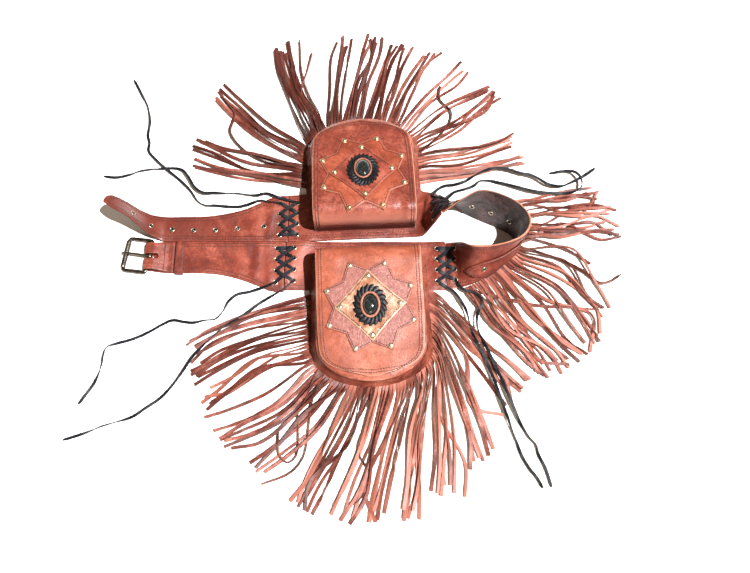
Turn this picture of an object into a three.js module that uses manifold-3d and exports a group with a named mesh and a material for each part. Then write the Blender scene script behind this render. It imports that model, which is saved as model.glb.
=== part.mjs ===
// A leather belt with two fringed pouches, lying unfastened on a flat surface.
// Millimetres, +Z up. The origin is the middle of the surface under the belt without its laces.
// The lower half (buckle side) lies towards -Y and the upper half (tongue side) towards +Y, with
// their waist edges facing each other, and the hip panel bends round between them at +X.
import * as THREE from "three";
import { mergeVertices } from "three/addons/utils/BufferGeometryUtils.js";
import Module from "manifold-3d";

// Driving dimensions
const GAP = 0.3;
const BELT_LEATHER = 2.4;
const POUCH_LEATHER = 1.6;
const PATCH_LEATHER = 1.5;
const STRIP_STEPS = 3;
const STRIP_COLUMNS = 3;
const MEASURE_STEPS = 2000;
const STRAP_GAP = 0.9;

// Eyelet holes: lacing rows are measured across a panel, from its hem (0) to its waist edge (1)
const EYELET_RADIUS = 2.2;
const EYELET_SIDES = 8;
const EYELET_DRILL = 24;
const LACING_ROWS = [0.865, 0.64, 0.41, 0.18];
const LACING_INSET = 10.5;
const TONGUE_EYELETS = [
  { fromTip: 34.5, row: 0.56 },
  { fromTip: 61.3, row: 0.57 },
  { fromTip: 89.4, row: 0.56 },
  { fromTip: 116.1, row: 0.57 },
  { fromTip: 142.7, row: 0.58 },
  { fromTip: 170.9, row: 0.59 },
  { fromTip: 204.1, row: 0.64 },
];

// Laces are flat, cut from black leather
const LACE = { width: 4.6, thickness: 1.6, over: 1.5, seamOver: 2.4, tailOver: 2.3, step: 13, floor: 0.9 };

// Belt panels, as stations along the belt from the buckle round the hip to the tongue.
// Each station gives the hem edge and the waist edge of the lining side.
const BUCKLE_PANEL = [
  { hem: [-267, -21.2, 0], waist: [-267, 12.8, 0] },
  { hem: [-246, -24, 0], waist: [-246, 15.4, 0] },
  { hem: [-221, -24.5, 0], waist: [-221, 15.5, 0] },
  { hem: [-203, -24.5, 0], waist: [-203, 16.2, 0] },
  { hem: [-178, -26.5, 0], waist: [-178, 16.6, 0] },
  { hem: [-153, -32.6, 0], waist: [-153, 16.6, 0] },
  { hem: [-134, -39.5, 0], waist: [-134, 16.6, 0] },
  { hem: [-119, -46, 0], waist: [-119, 16.6, 0] },
  { hem: [-108, -48.6, 0], waist: [-108, 16.6, 0] },
  { hem: [-98.6, -49, 0], waist: [-98.6, 16.6, 0] },
];
const LOWER_BACK_PANEL = [
  { hem: [-98, -46.5, 0], waist: [-98, 16.6, 0] },
  { hem: [98.7, -46.5, 0], waist: [98.7, 15.5, 0] },
];
const HIP_PANEL = [
  { hem: [100.4, -46.8, 0], waist: [100.4, 15.4, 0] },
  { hem: [112, -43.5, 0], waist: [112, 14, 8] },
  { hem: [120, -41, 0], waist: [118.5, 4, 34] },
  { hem: [134, -35, 0], waist: [126, -8, 56] },
  { hem: [156, -23, 0], waist: [147, -9, 60] },
  { hem: [175, -6, 0], waist: [170, -4, 62] },
  { hem: [185, 8, 0], waist: [186, 6, 62] },
  { hem: [182, 24, 0], waist: [192.5, 23, 61] },
  { hem: [168, 34, 0], waist: [181.5, 41, 61] },
  { hem: [148, 43, 0], waist: [160, 53.5, 61] },
  { hem: [128, 53, 0], waist: [136, 57.5, 62] },
  { hem: [110, 66, 0], waist: [116, 47, 60] },
  { hem: [92.4, 80.5, 0], waist: [93.4, 36.2, 44] },
];
const UPPER_BACK_PANEL = [
  { hem: [91.6, 80.6, 0], waist: [92.6, 36.2, 43.2] },
  { hem: [81, 83.4, 0], waist: [81.5, 29, 20] },
  { hem: [73, 85.2, 0], waist: [73, 25.6, 2] },
  { hem: [66, 85.5, 0], waist: [66, 25.2, 0] },
  { hem: [0, 84.4, 0], waist: [0, 22.4, 0] },
  { hem: [-96.1, 80, 0], waist: [-96.1, 17.4, 0] },
];
const TONGUE_PANEL = [
  { hem: [-96.7, 79.5, 0], waist: [-96.7, 17.3, 0] },
  { hem: [-108, 79, 0], waist: [-108, 17.2, 0] },
  { hem: [-120, 76, 0], waist: [-120, 17.2, 0] },
  { hem: [-134, 69, 0], waist: [-134, 17.2, 0] },
  { hem: [-152, 60.8, 0], waist: [-152, 17.2, 0] },
  { hem: [-177, 54.3, 0], waist: [-177, 17.3, 0] },
  { hem: [-202, 51, 0], waist: [-202, 17.9, 0] },
  { hem: [-227, 50.5, 0], waist: [-227, 18.2, 0] },
  { hem: [-250, 50.5, 0], waist: [-250, 18.4, 0] },
  { hem: [-267, 51.5, 2.5], waist: [-264, 21, 9] },
  { hem: [-281, 55, 9], waist: [-276, 28, 25] },
  { hem: [-298, 62, 22], waist: [-289, 36.5, 39] },
  { hem: [-311, 64, 34], waist: [-306, 44.5, 42] },
  { hem: [-315, 61, 37], waist: [-313.5, 51, 40.5] },
];

// The strap end turns back over the buckle's heel bar: inner face of the fold, along -X and up
const TURN_BACK = {
  centreY: -4.2,
  thickness: 2,
  rows: [
    { along: 262, up: 2.2, half: 17 },
    { along: 267, up: 2.2, half: 17 },
    { along: 269.1, up: 3.1, half: 17 },
    { along: 270, up: 5.2, half: 17 },
    { along: 269.1, up: 7.3, half: 17 },
    { along: 267, up: 8.2, half: 17.2 },
    { along: 259, up: 8.2, half: 18.2 },
    { along: 250, up: 5.2, half: 19.2 },
    { along: 243, up: 2.8, half: 19.5 },
    { along: 235, up: 2.2, half: 19.6 },
  ],
};
const PRONG_SLOT = { fromX: -277, toX: -254.5, halfWidth: 2.8, height: 14 };
const KEEPER = { fromX: -233, toX: -223, lowY: -24.9, highY: 15.9, room: 2.6, thickness: 1.6 };

// The strap sewn along the outside of the hip panel, across the panel from low to high
const HIP_STRAP = { from: 0.2, to: 0.92, low: 0.14, high: 0.58, point: 0.055, thickness: 1.8 };
const HIP_STRAP_EYELETS = { row: 0.37, fromTip: [20, 81, 106, 131, 156] };

// Buckle: the frame's own frame has its heel bar along Y at the origin and its roller towards -X
const BUCKLE = {
  heel: [-265, -4.2, 5.2],
  turn: -8,
  dip: 3.4,
  depth: 30,
  halfWidth: 20.8,
  heelRadius: 1.8,
  armRadius: 2,
  barRadius: 1.6,
  sides: 10,
};
const ROLLER = { inner: 1.95, outer: 3.2, length: 35 };
const PRONG = { ringInner: 2.15, ringOuter: 4, width: 3.4, radius: 1.4, reach: 33.5, clearance: 0.4 };

// Pouches, in a frame whose origin is on the belt's waist edge and whose -Y runs to the pouch's end.
// profile is the underside of the flap from its sewn edge over the shoulder, and plane is its flat run.
const LOWER_POUCH = {
  name: "lower",
  at: [2.5, 15.5],
  turn: 2.5,
  base: { mouthHalf: 70, half: 73, end: -181 },
  front: { mouthHalf: 62, half: 65, end: -177, mouth: -34 },
  profile: [
    { along: -9, up: 2.7 },
    { along: -13, up: 2.9 },
    { along: -15, up: 14 },
    { along: -17, up: 28 },
    { along: -21, up: 37 },
    { along: -27, up: 40 },
  ],
  plane: { from: -27, fromUp: 40, to: -172, toUp: 24 },
  badge: -91,
  starPhase: 24.4,
};
const UPPER_POUCH = {
  name: "upper",
  at: [0.5, 22.5],
  turn: 182.5,
  base: { mouthHalf: 63, half: 73, end: -163 },
  front: { mouthHalf: 58, half: 65, end: -157, mouth: -30 },
  profile: [
    { along: -11.5, up: 2.7 },
    { along: -15.5, up: 2.9 },
    { along: -13.4, up: 12 },
    { along: -11.6, up: 26 },
    { along: -13, up: 41 },
    { along: -19, up: 48 },
  ],
  plane: { from: -19, fromUp: 48, to: -152, toUp: 24 },
  badge: -70,
  starPhase: 24.4,
};
const POUCH_MOUTH = -20;
const POUCH_ROUND = 45;
const POUCH_SIDE_POINTS = 2;
const POUCH_ROUND_POINTS = 12;

// The flap's half width, by the distance from its tip
const FLAP_END = [
  { fromTip: 39, half: 61.5 },
  { fromTip: 28, half: 60 },
  { fromTip: 21, half: 56.5 },
  { fromTip: 15, half: 49.5 },
  { fromTip: 10, half: 39 },
  { fromTip: 5, half: 23 },
  { fromTip: 0, half: 5 },
];
const FLAP_HALF = 62.5;

// Patches on the flap
const STAR = { points: 8, tip: 58, notch: 43.5 };
const DIAMOND = { corner: 42.3, dent: 27.5 };
const ROSETTE = { halfX: 19.5, halfY: 24, teeth: 20, tooth: 1.4, thickness: 2.2 };
const BEZEL = { halfX: 11.7, halfY: 16, height: 3 };
const STONE = {
  halfX: 8.7,
  halfY: 12.9,
  height: 6,
  profile: [[0, 0], [1, 0], [0.96, 0.35], [0.75, 0.72], [0.4, 0.94], [0, 1]],
};
const RIVET = {
  radius: 3.2,
  height: 2.3,
  sides: 8,
  starRing: 52.5,
  diamondRing: 34.7,
  profile: [[0, 0], [1, 0], [0.72, 0.7], [0, 1]],
};

// Fringes lie on the surface: each lock is a row, rooted between two shares of the sewn edge
const FRINGE = { depth: 4, root: 0.5, middle: 5, band: 12, lockPoints: 3 };
const LOWER_FRINGE_START = -69;
const LOWER_LOCKS = [
  { from: 0, to: 0.09, tip: [-208, -117], half: 10 },
  { from: 0.09, to: 0.18, tip: [-203, -150], half: 14 },
  { from: 0.18, to: 0.27, tip: [-185, -187], half: 15 },
  { from: 0.27, to: 0.35, tip: [-160, -225], half: 15 },
  { from: 0.35, to: 0.42, tip: [-124, -259], half: 14 },
  { from: 0.42, to: 0.5, tip: [-69, -297], half: 12 },
  { from: 0.5, to: 0.58, tip: [-26, -310], half: 16 },
  { from: 0.58, to: 0.66, tip: [12, -313], half: 11 },
  { from: 0.66, to: 0.74, tip: [50, -311], half: 13 },
  { from: 0.74, to: 0.82, tip: [92, -287], half: 16 },
  { from: 0.82, to: 0.9, tip: [134, -250], half: 20 },
  { from: 0.9, to: 1, tip: [180, -178], half: 30 },
];
const UPPER_FRINGE_START = -69;
const UPPER_LOCKS = [
  { from: 0, to: 0.07, tip: [201, 130], half: 8 },
  { from: 0.07, to: 0.15, tip: [199, 160], half: 14 },
  { from: 0.15, to: 0.27, tip: [171, 231], half: 13 },
  { from: 0.27, to: 0.33, tip: [133, 267], half: 13 },
  { from: 0.33, to: 0.38, tip: [92, 291], half: 11 },
  { from: 0.38, to: 0.49, tip: [50, 308], half: 16 },
  { from: 0.49, to: 0.58, tip: [12, 317], half: 11 },
  { from: 0.58, to: 0.66, tip: [-26, 313], half: 10 },
  { from: 0.66, to: 0.79, tip: [-117, 299], half: 14 },
  { from: 0.79, to: 0.88, tip: [-195, 227], half: 13 },
  { from: 0.88, to: 0.95, tip: [-221, 157], half: 12 },
  { from: 0.95, to: 1, tip: [-222, 124], half: 9 },
];
const HIP_FRINGE_RUN = { from: 0.13, to: 0.83, samples: 24, root: 2 };
const HIP_LOCKS = [
  { from: 0, to: 0.12, tip: [213, -151], half: 9 },
  { from: 0.12, to: 0.24, tip: [234, -142], half: 11 },
  { from: 0.24, to: 0.36, tip: [255, -128], half: 13 },
  { from: 0.36, to: 0.47, tip: [273, -111], half: 13 },
  { from: 0.47, to: 0.56, tip: [285, -76], half: 18 },
  { from: 0.56, to: 0.7, tip: [314, 29], half: 10 },
  { from: 0.7, to: 0.85, tip: [312, 57], half: 11 },
  { from: 0.85, to: 1, tip: [293, 82], half: 9 },
];

// Loose ends of the laces, from the last eyelet to the cut end; z is the middle of the lace
const TAILS = {
  lace_upper_left: {
    before: [
      [-108, 75, 4.6], [-125, 82, 3], [-139, 80, 1], [-164, 82, 1], [-192, 83, 3], [-205, 82, 5.4],
      [-216, 89, 6], [-225, 103, 6], [-234, 114, 4], [-244, 118, 1], [-265, 117, 1], [-286, 114, 1],
      [-302, 109, 1], [-319, 105, 1], [-335, 107, 1],
    ],
    after: [
      [-120, 70, 4.2], [-133, 72, 4.2], [-149, 66, 3.6], [-163, 64, 1.6], [-191, 66, 1], [-201, 66, 1],
      [-211, 71, 1], [-222, 86, 2.4], [-238, 102, 1], [-256, 117, 3.2], [-270, 130, 1], [-281, 143, 1],
      [-281, 155, 1], [-284, 166, 1], [-283, 187, 1], [-288, 209, 1], [-299, 229, 1], [-310, 249, 1],
    ],
  },
  lace_lower_left: {
    before: [
      [-120, -42, 4.4], [-139, -48, 2], [-156, -52, 1], [-165, -60, 1], [-172, -75, 1], [-180, -83, 1],
      [-191, -84, 1], [-206, -87, 1], [-218, -86, 1], [-231, -84, 1], [-242, -89, 1], [-257, -98, 1],
      [-276, -107, 1], [-296, -113, 1], [-306, -117, 1], [-309, -126, 1], [-310, -140, 1],
      [-316, -159, 1], [-332, -185, 1],
    ],
    after: [
      [-98, -45, 4.6], [-109, -52, 4.4], [-128, -65, 5.6], [-143, -77, 5.8], [-165, -91, 5.8],
      [-180, -105, 5.8], [-191, -116, 5.8], [-203, -130, 5.8], [-213, -147, 5.6], [-226, -165, 2.6],
      [-238, -178, 1], [-253, -189, 1], [-269, -200, 1], [-284, -205, 1], [-300, -210, 1],
      [-320, -218, 1], [-345, -226, 1],
    ],
  },
  lace_lower_right: {
    before: [
      [98, -43, 4.6], [107, -49, 5.2], [113, -57, 5.8], [121, -72, 5.8], [125, -89, 5.8], [130, -107, 5.8],
      [138, -123, 5.8], [145, -141, 5.8], [154, -167, 5.8], [160, -187, 5.8], [167, -209, 4],
      [172, -224, 1], [178, -242, 1], [186, -257, 1], [195, -269, 1], [200, -279, 1],
    ],
    after: [
      [118, -46, 6.2], [130, -50, 6.2], [139, -56, 6.2], [141, -65, 6.2], [135, -76, 6.2], [134, -95, 6.2],
      [141, -113, 6.2], [150, -133, 6.2], [160, -158, 6.2], [170, -184, 5.4], [180, -209, 2],
      [188, -223, 1], [195, -231, 1], [197, -241, 1], [204, -256, 1], [210, -278, 1],
    ],
  },
  lace_upper_right: {
    after: [
      [92, 87, 4.6], [100, 92, 4], [114, 94, 4.8], [127, 98, 5.6], [138, 105, 6], [149, 111, 6],
      [164, 116, 6], [180, 115, 6], [198, 109, 6], [209, 107, 5.6], [219, 102, 5.6], [231, 94, 5.8],
      [248, 91, 5.8], [267, 99, 5.8], [281, 107, 5.8], [294, 118, 1.2],
    ],
    before: [
      [113, 84, 3], [124, 88, 1.4], [138, 93, 2.4], [145, 99, 2.8], [155, 100, 2.6], [174, 96, 3.2],
      [198, 88, 5.8], [213, 84, 5.8], [237, 81, 5.8], [260, 82, 5.8], [272, 88, 7.6], [274, 98, 7.8],
      [268, 109, 7.4], [257, 113, 4], [236, 111, 1.2],
    ],
  },
};

const wasm = await Module();
wasm.setup();

// Solids, joined and cut
function toSolid(geometry) {
  const bare = geometry.clone();
  bare.deleteAttribute("normal");
  bare.deleteAttribute("uv");
  const merged = mergeVertices(bare, 1e-4);
  return new wasm.Manifold(
    new wasm.Mesh({
      numProp: 3,
      vertProperties: merged.attributes.position.array,
      triVerts: new Uint32Array(merged.index.array),
    }),
  );
}

function toGeometry(solid) {
  const mesh = solid.getMesh();
  const geometry = new THREE.BufferGeometry();
  const points = new Float32Array(mesh.vertProperties);
  geometry.setAttribute("position", new THREE.BufferAttribute(points, 3));
  geometry.setIndex(new THREE.BufferAttribute(new Uint32Array(mesh.triVerts), 1));
  geometry.computeVertexNormals();
  return geometry;
}

function unite(geometries) {
  return toGeometry(geometries.map(toSolid).reduce((whole, piece) => whole.add(piece)));
}

function cut(geometry, tools) {
  return toGeometry(tools.map(toSolid).reduce((whole, tool) => whole.subtract(tool), toSolid(geometry)));
}

// A closed wall between two grids of points of the same size
function slab(under, over) {
  const rows = under.length;
  const columns = under[0].length;
  const points = [under, over].flat(2).flatMap((p) => [p.x, p.y, p.z]);
  const at = (side, i, j) => (side * rows + i) * columns + j;
  const index = [];
  const quad = (a, b, c, d) => index.push(a, b, c, a, c, d);
  const lastRow = rows - 1;
  const lastColumn = columns - 1;
  for (let i = 0; i < lastRow; i++) {
    for (let j = 0; j < lastColumn; j++) {
      quad(at(1, i, j), at(1, i + 1, j), at(1, i + 1, j + 1), at(1, i, j + 1));
      quad(at(0, i, j), at(0, i, j + 1), at(0, i + 1, j + 1), at(0, i + 1, j));
    }
    quad(at(0, i, 0), at(0, i + 1, 0), at(1, i + 1, 0), at(1, i, 0));
    quad(at(0, i + 1, lastColumn), at(0, i, lastColumn), at(1, i, lastColumn), at(1, i + 1, lastColumn));
  }
  for (let j = 0; j < lastColumn; j++) {
    quad(at(0, 0, j + 1), at(0, 0, j), at(1, 0, j), at(1, 0, j + 1));
    quad(at(0, lastRow, j), at(0, lastRow, j + 1), at(1, lastRow, j + 1), at(1, lastRow, j));
  }
  const geometry = new THREE.BufferGeometry();
  geometry.setAttribute("position", new THREE.Float32BufferAttribute(points, 3));
  geometry.setIndex(signedVolume(points, index) < 0 ? index.reverse() : index);
  geometry.computeVertexNormals();
  return geometry;
}

function signedVolume(points, index) {
  const corner = (k) => new THREE.Vector3().fromArray(points, 3 * index[k]);
  let sum = 0;
  for (let k = 0; k < index.length; k += 3) {
    sum += corner(k).dot(corner(k + 1).cross(corner(k + 2))) / 6;
  }
  return sum;
}

function plate(shape, thickness, curveSegments = 12) {
  return new THREE.ExtrudeGeometry(shape, { depth: thickness, bevelEnabled: false, curveSegments });
}

// A strip of the belt through its stations: a place and outward normal for each share along and across
function stripSurface(stations) {
  const edge = (key) => new THREE.CatmullRomCurve3(stations.map((s) => new THREE.Vector3(...s[key])));
  const hem = edge("hem");
  const waist = edge("waist");
  const nudge = 1e-3;
  const point = (along, across) => {
    const place = hem.getPoint(along).lerp(waist.getPoint(along), across);
    place.z = Math.max(place.z, 0);
    return place;
  };
  const normal = (along, across) => {
    const before = Math.max(along - nudge, 0);
    const after = Math.min(along + nudge, 1);
    const run = point(after, across).sub(point(before, across));
    const rise = point(along, 1).sub(point(along, 0));
    return run.cross(rise).normalize();
  };
  return { point, normal, steps: (stations.length - 1) * STRIP_STEPS };
}

// A layer on a strip, from one height over its lining side to another
function stripLayer(surface, under, over, run = { from: 0, to: 1 }, edges = () => [0, 1]) {
  const first = Math.round(surface.steps * run.from);
  const last = Math.round(surface.steps * run.to);
  const layer = (height) =>
    Array.from({ length: last - first + 1 }, (_, i) => {
      const along = (first + i) / surface.steps;
      const [low, high] = edges(along);
      return Array.from({ length: STRIP_COLUMNS + 1 }, (__, j) => {
        const across = THREE.MathUtils.lerp(low, high, j / STRIP_COLUMNS);
        const place = surface.point(along, across).addScaledVector(surface.normal(along, across), height);
        place.z = Math.max(place.z, 0);
        return place;
      });
    });
  return slab(layer(under), layer(over));
}

// Places on a strip at given distances from one end, along a line across the panel at a given share
function placesAlong(surface, across, distances, fromEnd) {
  const places = [];
  let run = 0;
  let last = surface.point(fromEnd ? 1 : 0, across);
  for (let i = 1; i <= MEASURE_STEPS && places.length < distances.length; i++) {
    const along = fromEnd ? 1 - i / MEASURE_STEPS : i / MEASURE_STEPS;
    const next = surface.point(along, across);
    run += next.distanceTo(last);
    last = next;
    if (run >= distances[places.length]) {
      places.push({ point: next, normal: surface.normal(along, across) });
    }
  }
  return places;
}

function lacingPlaces(surface, fromEnd) {
  return LACING_ROWS.flatMap((row) => placesAlong(surface, row, [LACING_INSET], fromEnd));
}

function eyeletHole({ point, normal }) {
  const hole = new THREE.CylinderGeometry(EYELET_RADIUS, EYELET_RADIUS, EYELET_DRILL, EYELET_SIDES);
  const turn = new THREE.Quaternion().setFromUnitVectors(new THREE.Vector3(0, 1, 0), normal);
  return hole.applyQuaternion(turn).translate(point.x, point.y, point.z);
}

// A sheet bent along one direction: rows give the inner face and half width, across is the X axis
function bentSheet(rows, thickness) {
  const normalAt = (i) => {
    const before = rows[Math.max(i - 1, 0)];
    const after = rows[Math.min(i + 1, rows.length - 1)];
    const run = new THREE.Vector2(after.along - before.along, after.up - before.up).normalize();
    return new THREE.Vector3(0, run.y, -run.x);
  };
  const face = (height) =>
    rows.map((row, i) =>
      [-1, 1].map((side) =>
        new THREE.Vector3(side * row.half, row.along, row.up).addScaledVector(normalAt(i), height),
      ),
    );
  return slab(face(0), face(thickness));
}

// Belt panels
const surfaces = {
  buckle: stripSurface(BUCKLE_PANEL),
  lowerBack: stripSurface(LOWER_BACK_PANEL),
  hip: stripSurface(HIP_PANEL),
  upperBack: stripSurface(UPPER_BACK_PANEL),
  tongue: stripSurface(TONGUE_PANEL),
};

// A lacing joins the end of one panel to the start of the next
function lacingOf(before, after) {
  const seam = (across) => ({
    point: before.point(1, across).lerp(after.point(0, across), 0.5),
    normal: before.normal(1, across).add(after.normal(0, across)).normalize(),
  });
  return { before: lacingPlaces(before, true), after: lacingPlaces(after, false), seam };
}

const lacings = {
  lower_left: lacingOf(surfaces.buckle, surfaces.lowerBack),
  lower_right: lacingOf(surfaces.lowerBack, surfaces.hip),
  upper_right: lacingOf(surfaces.hip, surfaces.upperBack),
  upper_left: lacingOf(surfaces.upperBack, surfaces.tongue),
};

function beltStrip(surface) {
  return stripLayer(surface, 0, BELT_LEATHER);
}

function bucklePanel() {
  const fold = bentSheet(TURN_BACK.rows, TURN_BACK.thickness).rotateZ(Math.PI / 2);
  fold.translate(0, TURN_BACK.centreY, 0);
  const slotLength = PRONG_SLOT.toX - PRONG_SLOT.fromX;
  const slot = new THREE.BoxGeometry(slotLength, 2 * PRONG_SLOT.halfWidth, 2 * PRONG_SLOT.height);
  slot.translate(PRONG_SLOT.fromX + slotLength / 2, TURN_BACK.centreY, 0);
  const folded = unite([beltStrip(surfaces.buckle), fold]);
  return cut(folded, [slot, ...lacings.lower_left.before.map(eyeletHole)]);
}

function tonguePanel() {
  const along = ({ fromTip, row }) => placesAlong(surfaces.tongue, row, [fromTip], true);
  const holes = TONGUE_EYELETS.flatMap(along);
  return cut(beltStrip(surfaces.tongue), [...holes, ...lacings.upper_left.after].map(eyeletHole));
}

function hipPanel() {
  const holes = [...lacings.lower_right.after, ...lacings.upper_right.before, ...hipStrapPlaces()];
  return cut(beltStrip(surfaces.hip), holes.map(eyeletHole));
}

function hipStrapPlaces() {
  const { row, fromTip } = HIP_STRAP_EYELETS;
  const toTip = surfaces.hip.point(0, row).distanceTo(surfaces.hip.point(HIP_STRAP.from, row));
  return placesAlong(surfaces.hip, row, fromTip.map((distance) => toTip + distance), false);
}

function hipStrap() {
  const middle = (HIP_STRAP.low + HIP_STRAP.high) / 2;
  const half = (HIP_STRAP.high - HIP_STRAP.low) / 2;
  const tipShare = 0.12;
  const edges = (along) => {
    const toEnd = Math.min(along - HIP_STRAP.from, HIP_STRAP.to - along);
    const reach = half * THREE.MathUtils.clamp(tipShare + toEnd / HIP_STRAP.point, tipShare, 1);
    return [middle - reach, middle + reach];
  };
  const low = BELT_LEATHER + STRAP_GAP;
  const strap = stripLayer(surfaces.hip, low, low + HIP_STRAP.thickness, HIP_STRAP, edges);
  return cut(strap, hipStrapPlaces().map(eyeletHole));
}

function backPanel(surface, pouch, holes) {
  const base = pouch.base;
  const outline = pouchOutline(base.half, base.half, POUCH_MOUTH, base.end);
  const back = plate(new THREE.Shape(outline), BELT_LEATHER);
  back.applyMatrix4(pouchGroup(pouch).matrix);
  return cut(unite([beltStrip(surface), back]), holes.map(eyeletHole));
}

function keeper() {
  const { fromX, toX, lowY, highY, room, thickness } = KEEPER;
  const top = BELT_LEATHER + room;
  const arch = new THREE.Shape();
  arch.moveTo(lowY - thickness, 0);
  arch.lineTo(lowY, 0);
  arch.lineTo(lowY, top);
  arch.lineTo(highY, top);
  arch.lineTo(highY, 0);
  arch.lineTo(highY + thickness, 0);
  arch.lineTo(highY + thickness, top + thickness / 2);
  arch.lineTo(highY, top + thickness);
  arch.lineTo(lowY, top + thickness);
  arch.lineTo(lowY - thickness, top + thickness / 2);
  return plate(arch, toX - fromX).rotateZ(Math.PI / 2).rotateY(Math.PI / 2).translate(fromX, 0, 0);
}

// Buckle
function bar(from, to, radius) {
  const start = new THREE.Vector3(...from);
  const end = new THREE.Vector3(...to);
  const run = end.clone().sub(start);
  const geometry = new THREE.CylinderGeometry(radius, radius, run.length(), BUCKLE.sides);
  const turn = new THREE.Quaternion().setFromUnitVectors(new THREE.Vector3(0, 1, 0), run.normalize());
  const middle = start.add(end).multiplyScalar(0.5);
  return geometry.applyQuaternion(turn).translate(middle.x, middle.y, middle.z);
}

function buckleFrame() {
  const { depth, halfWidth, heelRadius, armRadius, barRadius, sides } = BUCKLE;
  const corners = [[0, -halfWidth], [0, halfWidth], [-depth, halfWidth], [-depth, -halfWidth]];
  const balls = corners.map(([x, y]) =>
    new THREE.SphereGeometry(armRadius, sides, sides / 2).rotateX(Math.PI / 2).translate(x, y, 0),
  );
  const bars = [
    bar([0, -halfWidth, 0], [0, halfWidth, 0], heelRadius),
    bar([-depth, -halfWidth, 0], [-depth, halfWidth, 0], barRadius),
    bar([0, halfWidth, 0], [-depth, halfWidth, 0], armRadius),
    bar([0, -halfWidth, 0], [-depth, -halfWidth, 0], armRadius),
  ];
  return unite([...bars, ...balls]);
}

function ring(inner, outer, length, sides) {
  const profile = [[inner, -length / 2], [outer, -length / 2], [outer, length / 2], [inner, length / 2]];
  profile.push(profile[0]);
  return new THREE.LatheGeometry(profile.map(([r, y]) => new THREE.Vector2(r, y)), sides);
}

function buckleProng() {
  const eye = ring(PRONG.ringInner, PRONG.ringOuter, PRONG.width, BUCKLE.sides);
  const overRoller = ROLLER.outer + PRONG.clearance + PRONG.radius;
  const root = (PRONG.ringInner + PRONG.ringOuter) / 2;
  const pin = bar([-1, 0, root], [-PRONG.reach, 0, overRoller], PRONG.radius);
  return unite([eye, pin]);
}

function addBuckle(parent) {
  const group = new THREE.Group();
  group.position.set(...BUCKLE.heel);
  group.rotation.set(0, THREE.MathUtils.degToRad(-BUCKLE.dip), THREE.MathUtils.degToRad(BUCKLE.turn), "ZYX");
  parent.add(group);
  addMesh(group, "buckle_frame", buckleFrame(), "bronze");
  const roller = ring(ROLLER.inner, ROLLER.outer, ROLLER.length, BUCKLE.sides).translate(-BUCKLE.depth, 0, 0);
  addMesh(group, "buckle_roller", roller, "bronze");
  addMesh(group, "buckle_prong", buckleProng(), "bronze");
}

// Pouches
function pouchGroup(pouch) {
  const group = new THREE.Group();
  group.position.set(pouch.at[0], pouch.at[1], 0);
  group.rotation.z = THREE.MathUtils.degToRad(pouch.turn);
  group.updateMatrix();
  return group;
}

// The U of a pouch wall: down one side, round the end and up the other
function pouchOutline(mouthHalf, half, mouth, end) {
  const sideEnd = end + POUCH_ROUND;
  const points = [];
  for (let i = 0; i < POUCH_SIDE_POINTS; i++) {
    const share = i / POUCH_SIDE_POINTS;
    const x = THREE.MathUtils.lerp(mouthHalf, half, share);
    points.push(new THREE.Vector2(-x, THREE.MathUtils.lerp(mouth, sideEnd, share)));
  }
  const side = points.map((p) => new THREE.Vector2(-p.x, p.y)).reverse();
  for (let i = 0; i <= POUCH_ROUND_POINTS; i++) {
    const angle = Math.PI + (Math.PI * i) / POUCH_ROUND_POINTS;
    points.push(new THREE.Vector2(half * Math.cos(angle), sideEnd + POUCH_ROUND * Math.sin(angle)));
  }
  return [...points, ...side];
}

// Height of the flap's underside over its flat run
function planeHeight(pouch, y) {
  const { from, fromUp, to, toUp } = pouch.plane;
  return fromUp + ((toUp - fromUp) * (y - from)) / (to - from);
}

function gusset(pouch) {
  const wall = POUCH_LEATHER;
  const { base, front } = pouch;
  const low = BELT_LEATHER + GAP;
  const topDrop = wall + 2 * GAP;
  const face = (inset) => {
    const bottom = pouchOutline(base.mouthHalf - inset, base.half - inset, POUCH_MOUTH, base.end + inset);
    const top = pouchOutline(front.mouthHalf - inset, front.half - inset, front.mouth, front.end + inset);
    return bottom.map((p, i) => [
      new THREE.Vector3(p.x, p.y, low),
      new THREE.Vector3(top[i].x, top[i].y, planeHeight(pouch, top[i].y) - topDrop),
    ]);
  };
  return slab(face(wall), face(0));
}

function frontPanel(pouch) {
  const { front } = pouch;
  const outline = pouchOutline(front.mouthHalf, front.half, front.mouth, front.end);
  const geometry = plate(new THREE.Shape(outline), POUCH_LEATHER);
  const places = geometry.attributes.position;
  for (let i = 0; i < places.count; i++) {
    const lift = planeHeight(pouch, places.getY(i)) - GAP - POUCH_LEATHER;
    places.setZ(i, places.getZ(i) + lift);
  }
  return geometry;
}

function flap(pouch) {
  const shoulder = pouch.profile.map((row) => ({ ...row, half: FLAP_HALF }));
  const run = FLAP_END.map(({ fromTip, half }) => {
    const along = pouch.plane.to + fromTip;
    return { along, up: planeHeight(pouch, along), half };
  });
  return bentSheet([...shoulder, ...run], POUCH_LEATHER);
}

function starShape(pouch) {
  const shape = new THREE.Shape();
  for (let k = 0; k < 2 * STAR.points; k++) {
    const radius = k % 2 ? STAR.notch : STAR.tip;
    const angle = THREE.MathUtils.degToRad(pouch.starPhase) + (Math.PI * k) / STAR.points;
    const place = [radius * Math.cos(angle), radius * Math.sin(angle)];
    if (k) shape.lineTo(...place);
    else shape.moveTo(...place);
  }
  return shape;
}

// The diamond's corners sit in the notches of the star, and its sides are a little hollow
function diamondShape(pouch) {
  const start = THREE.MathUtils.degToRad(pouch.starPhase) + Math.PI / STAR.points;
  const at = (radius, quarter) => {
    const angle = start - Math.PI / 4 + (Math.PI / 2) * quarter;
    return [radius * Math.cos(angle), radius * Math.sin(angle)];
  };
  const shape = new THREE.Shape();
  shape.moveTo(...at(DIAMOND.corner, 0));
  for (let quarter = 1; quarter <= 4; quarter++) {
    shape.quadraticCurveTo(...at(DIAMOND.dent, quarter - 0.5), ...at(DIAMOND.corner, quarter));
  }
  return shape;
}

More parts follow.
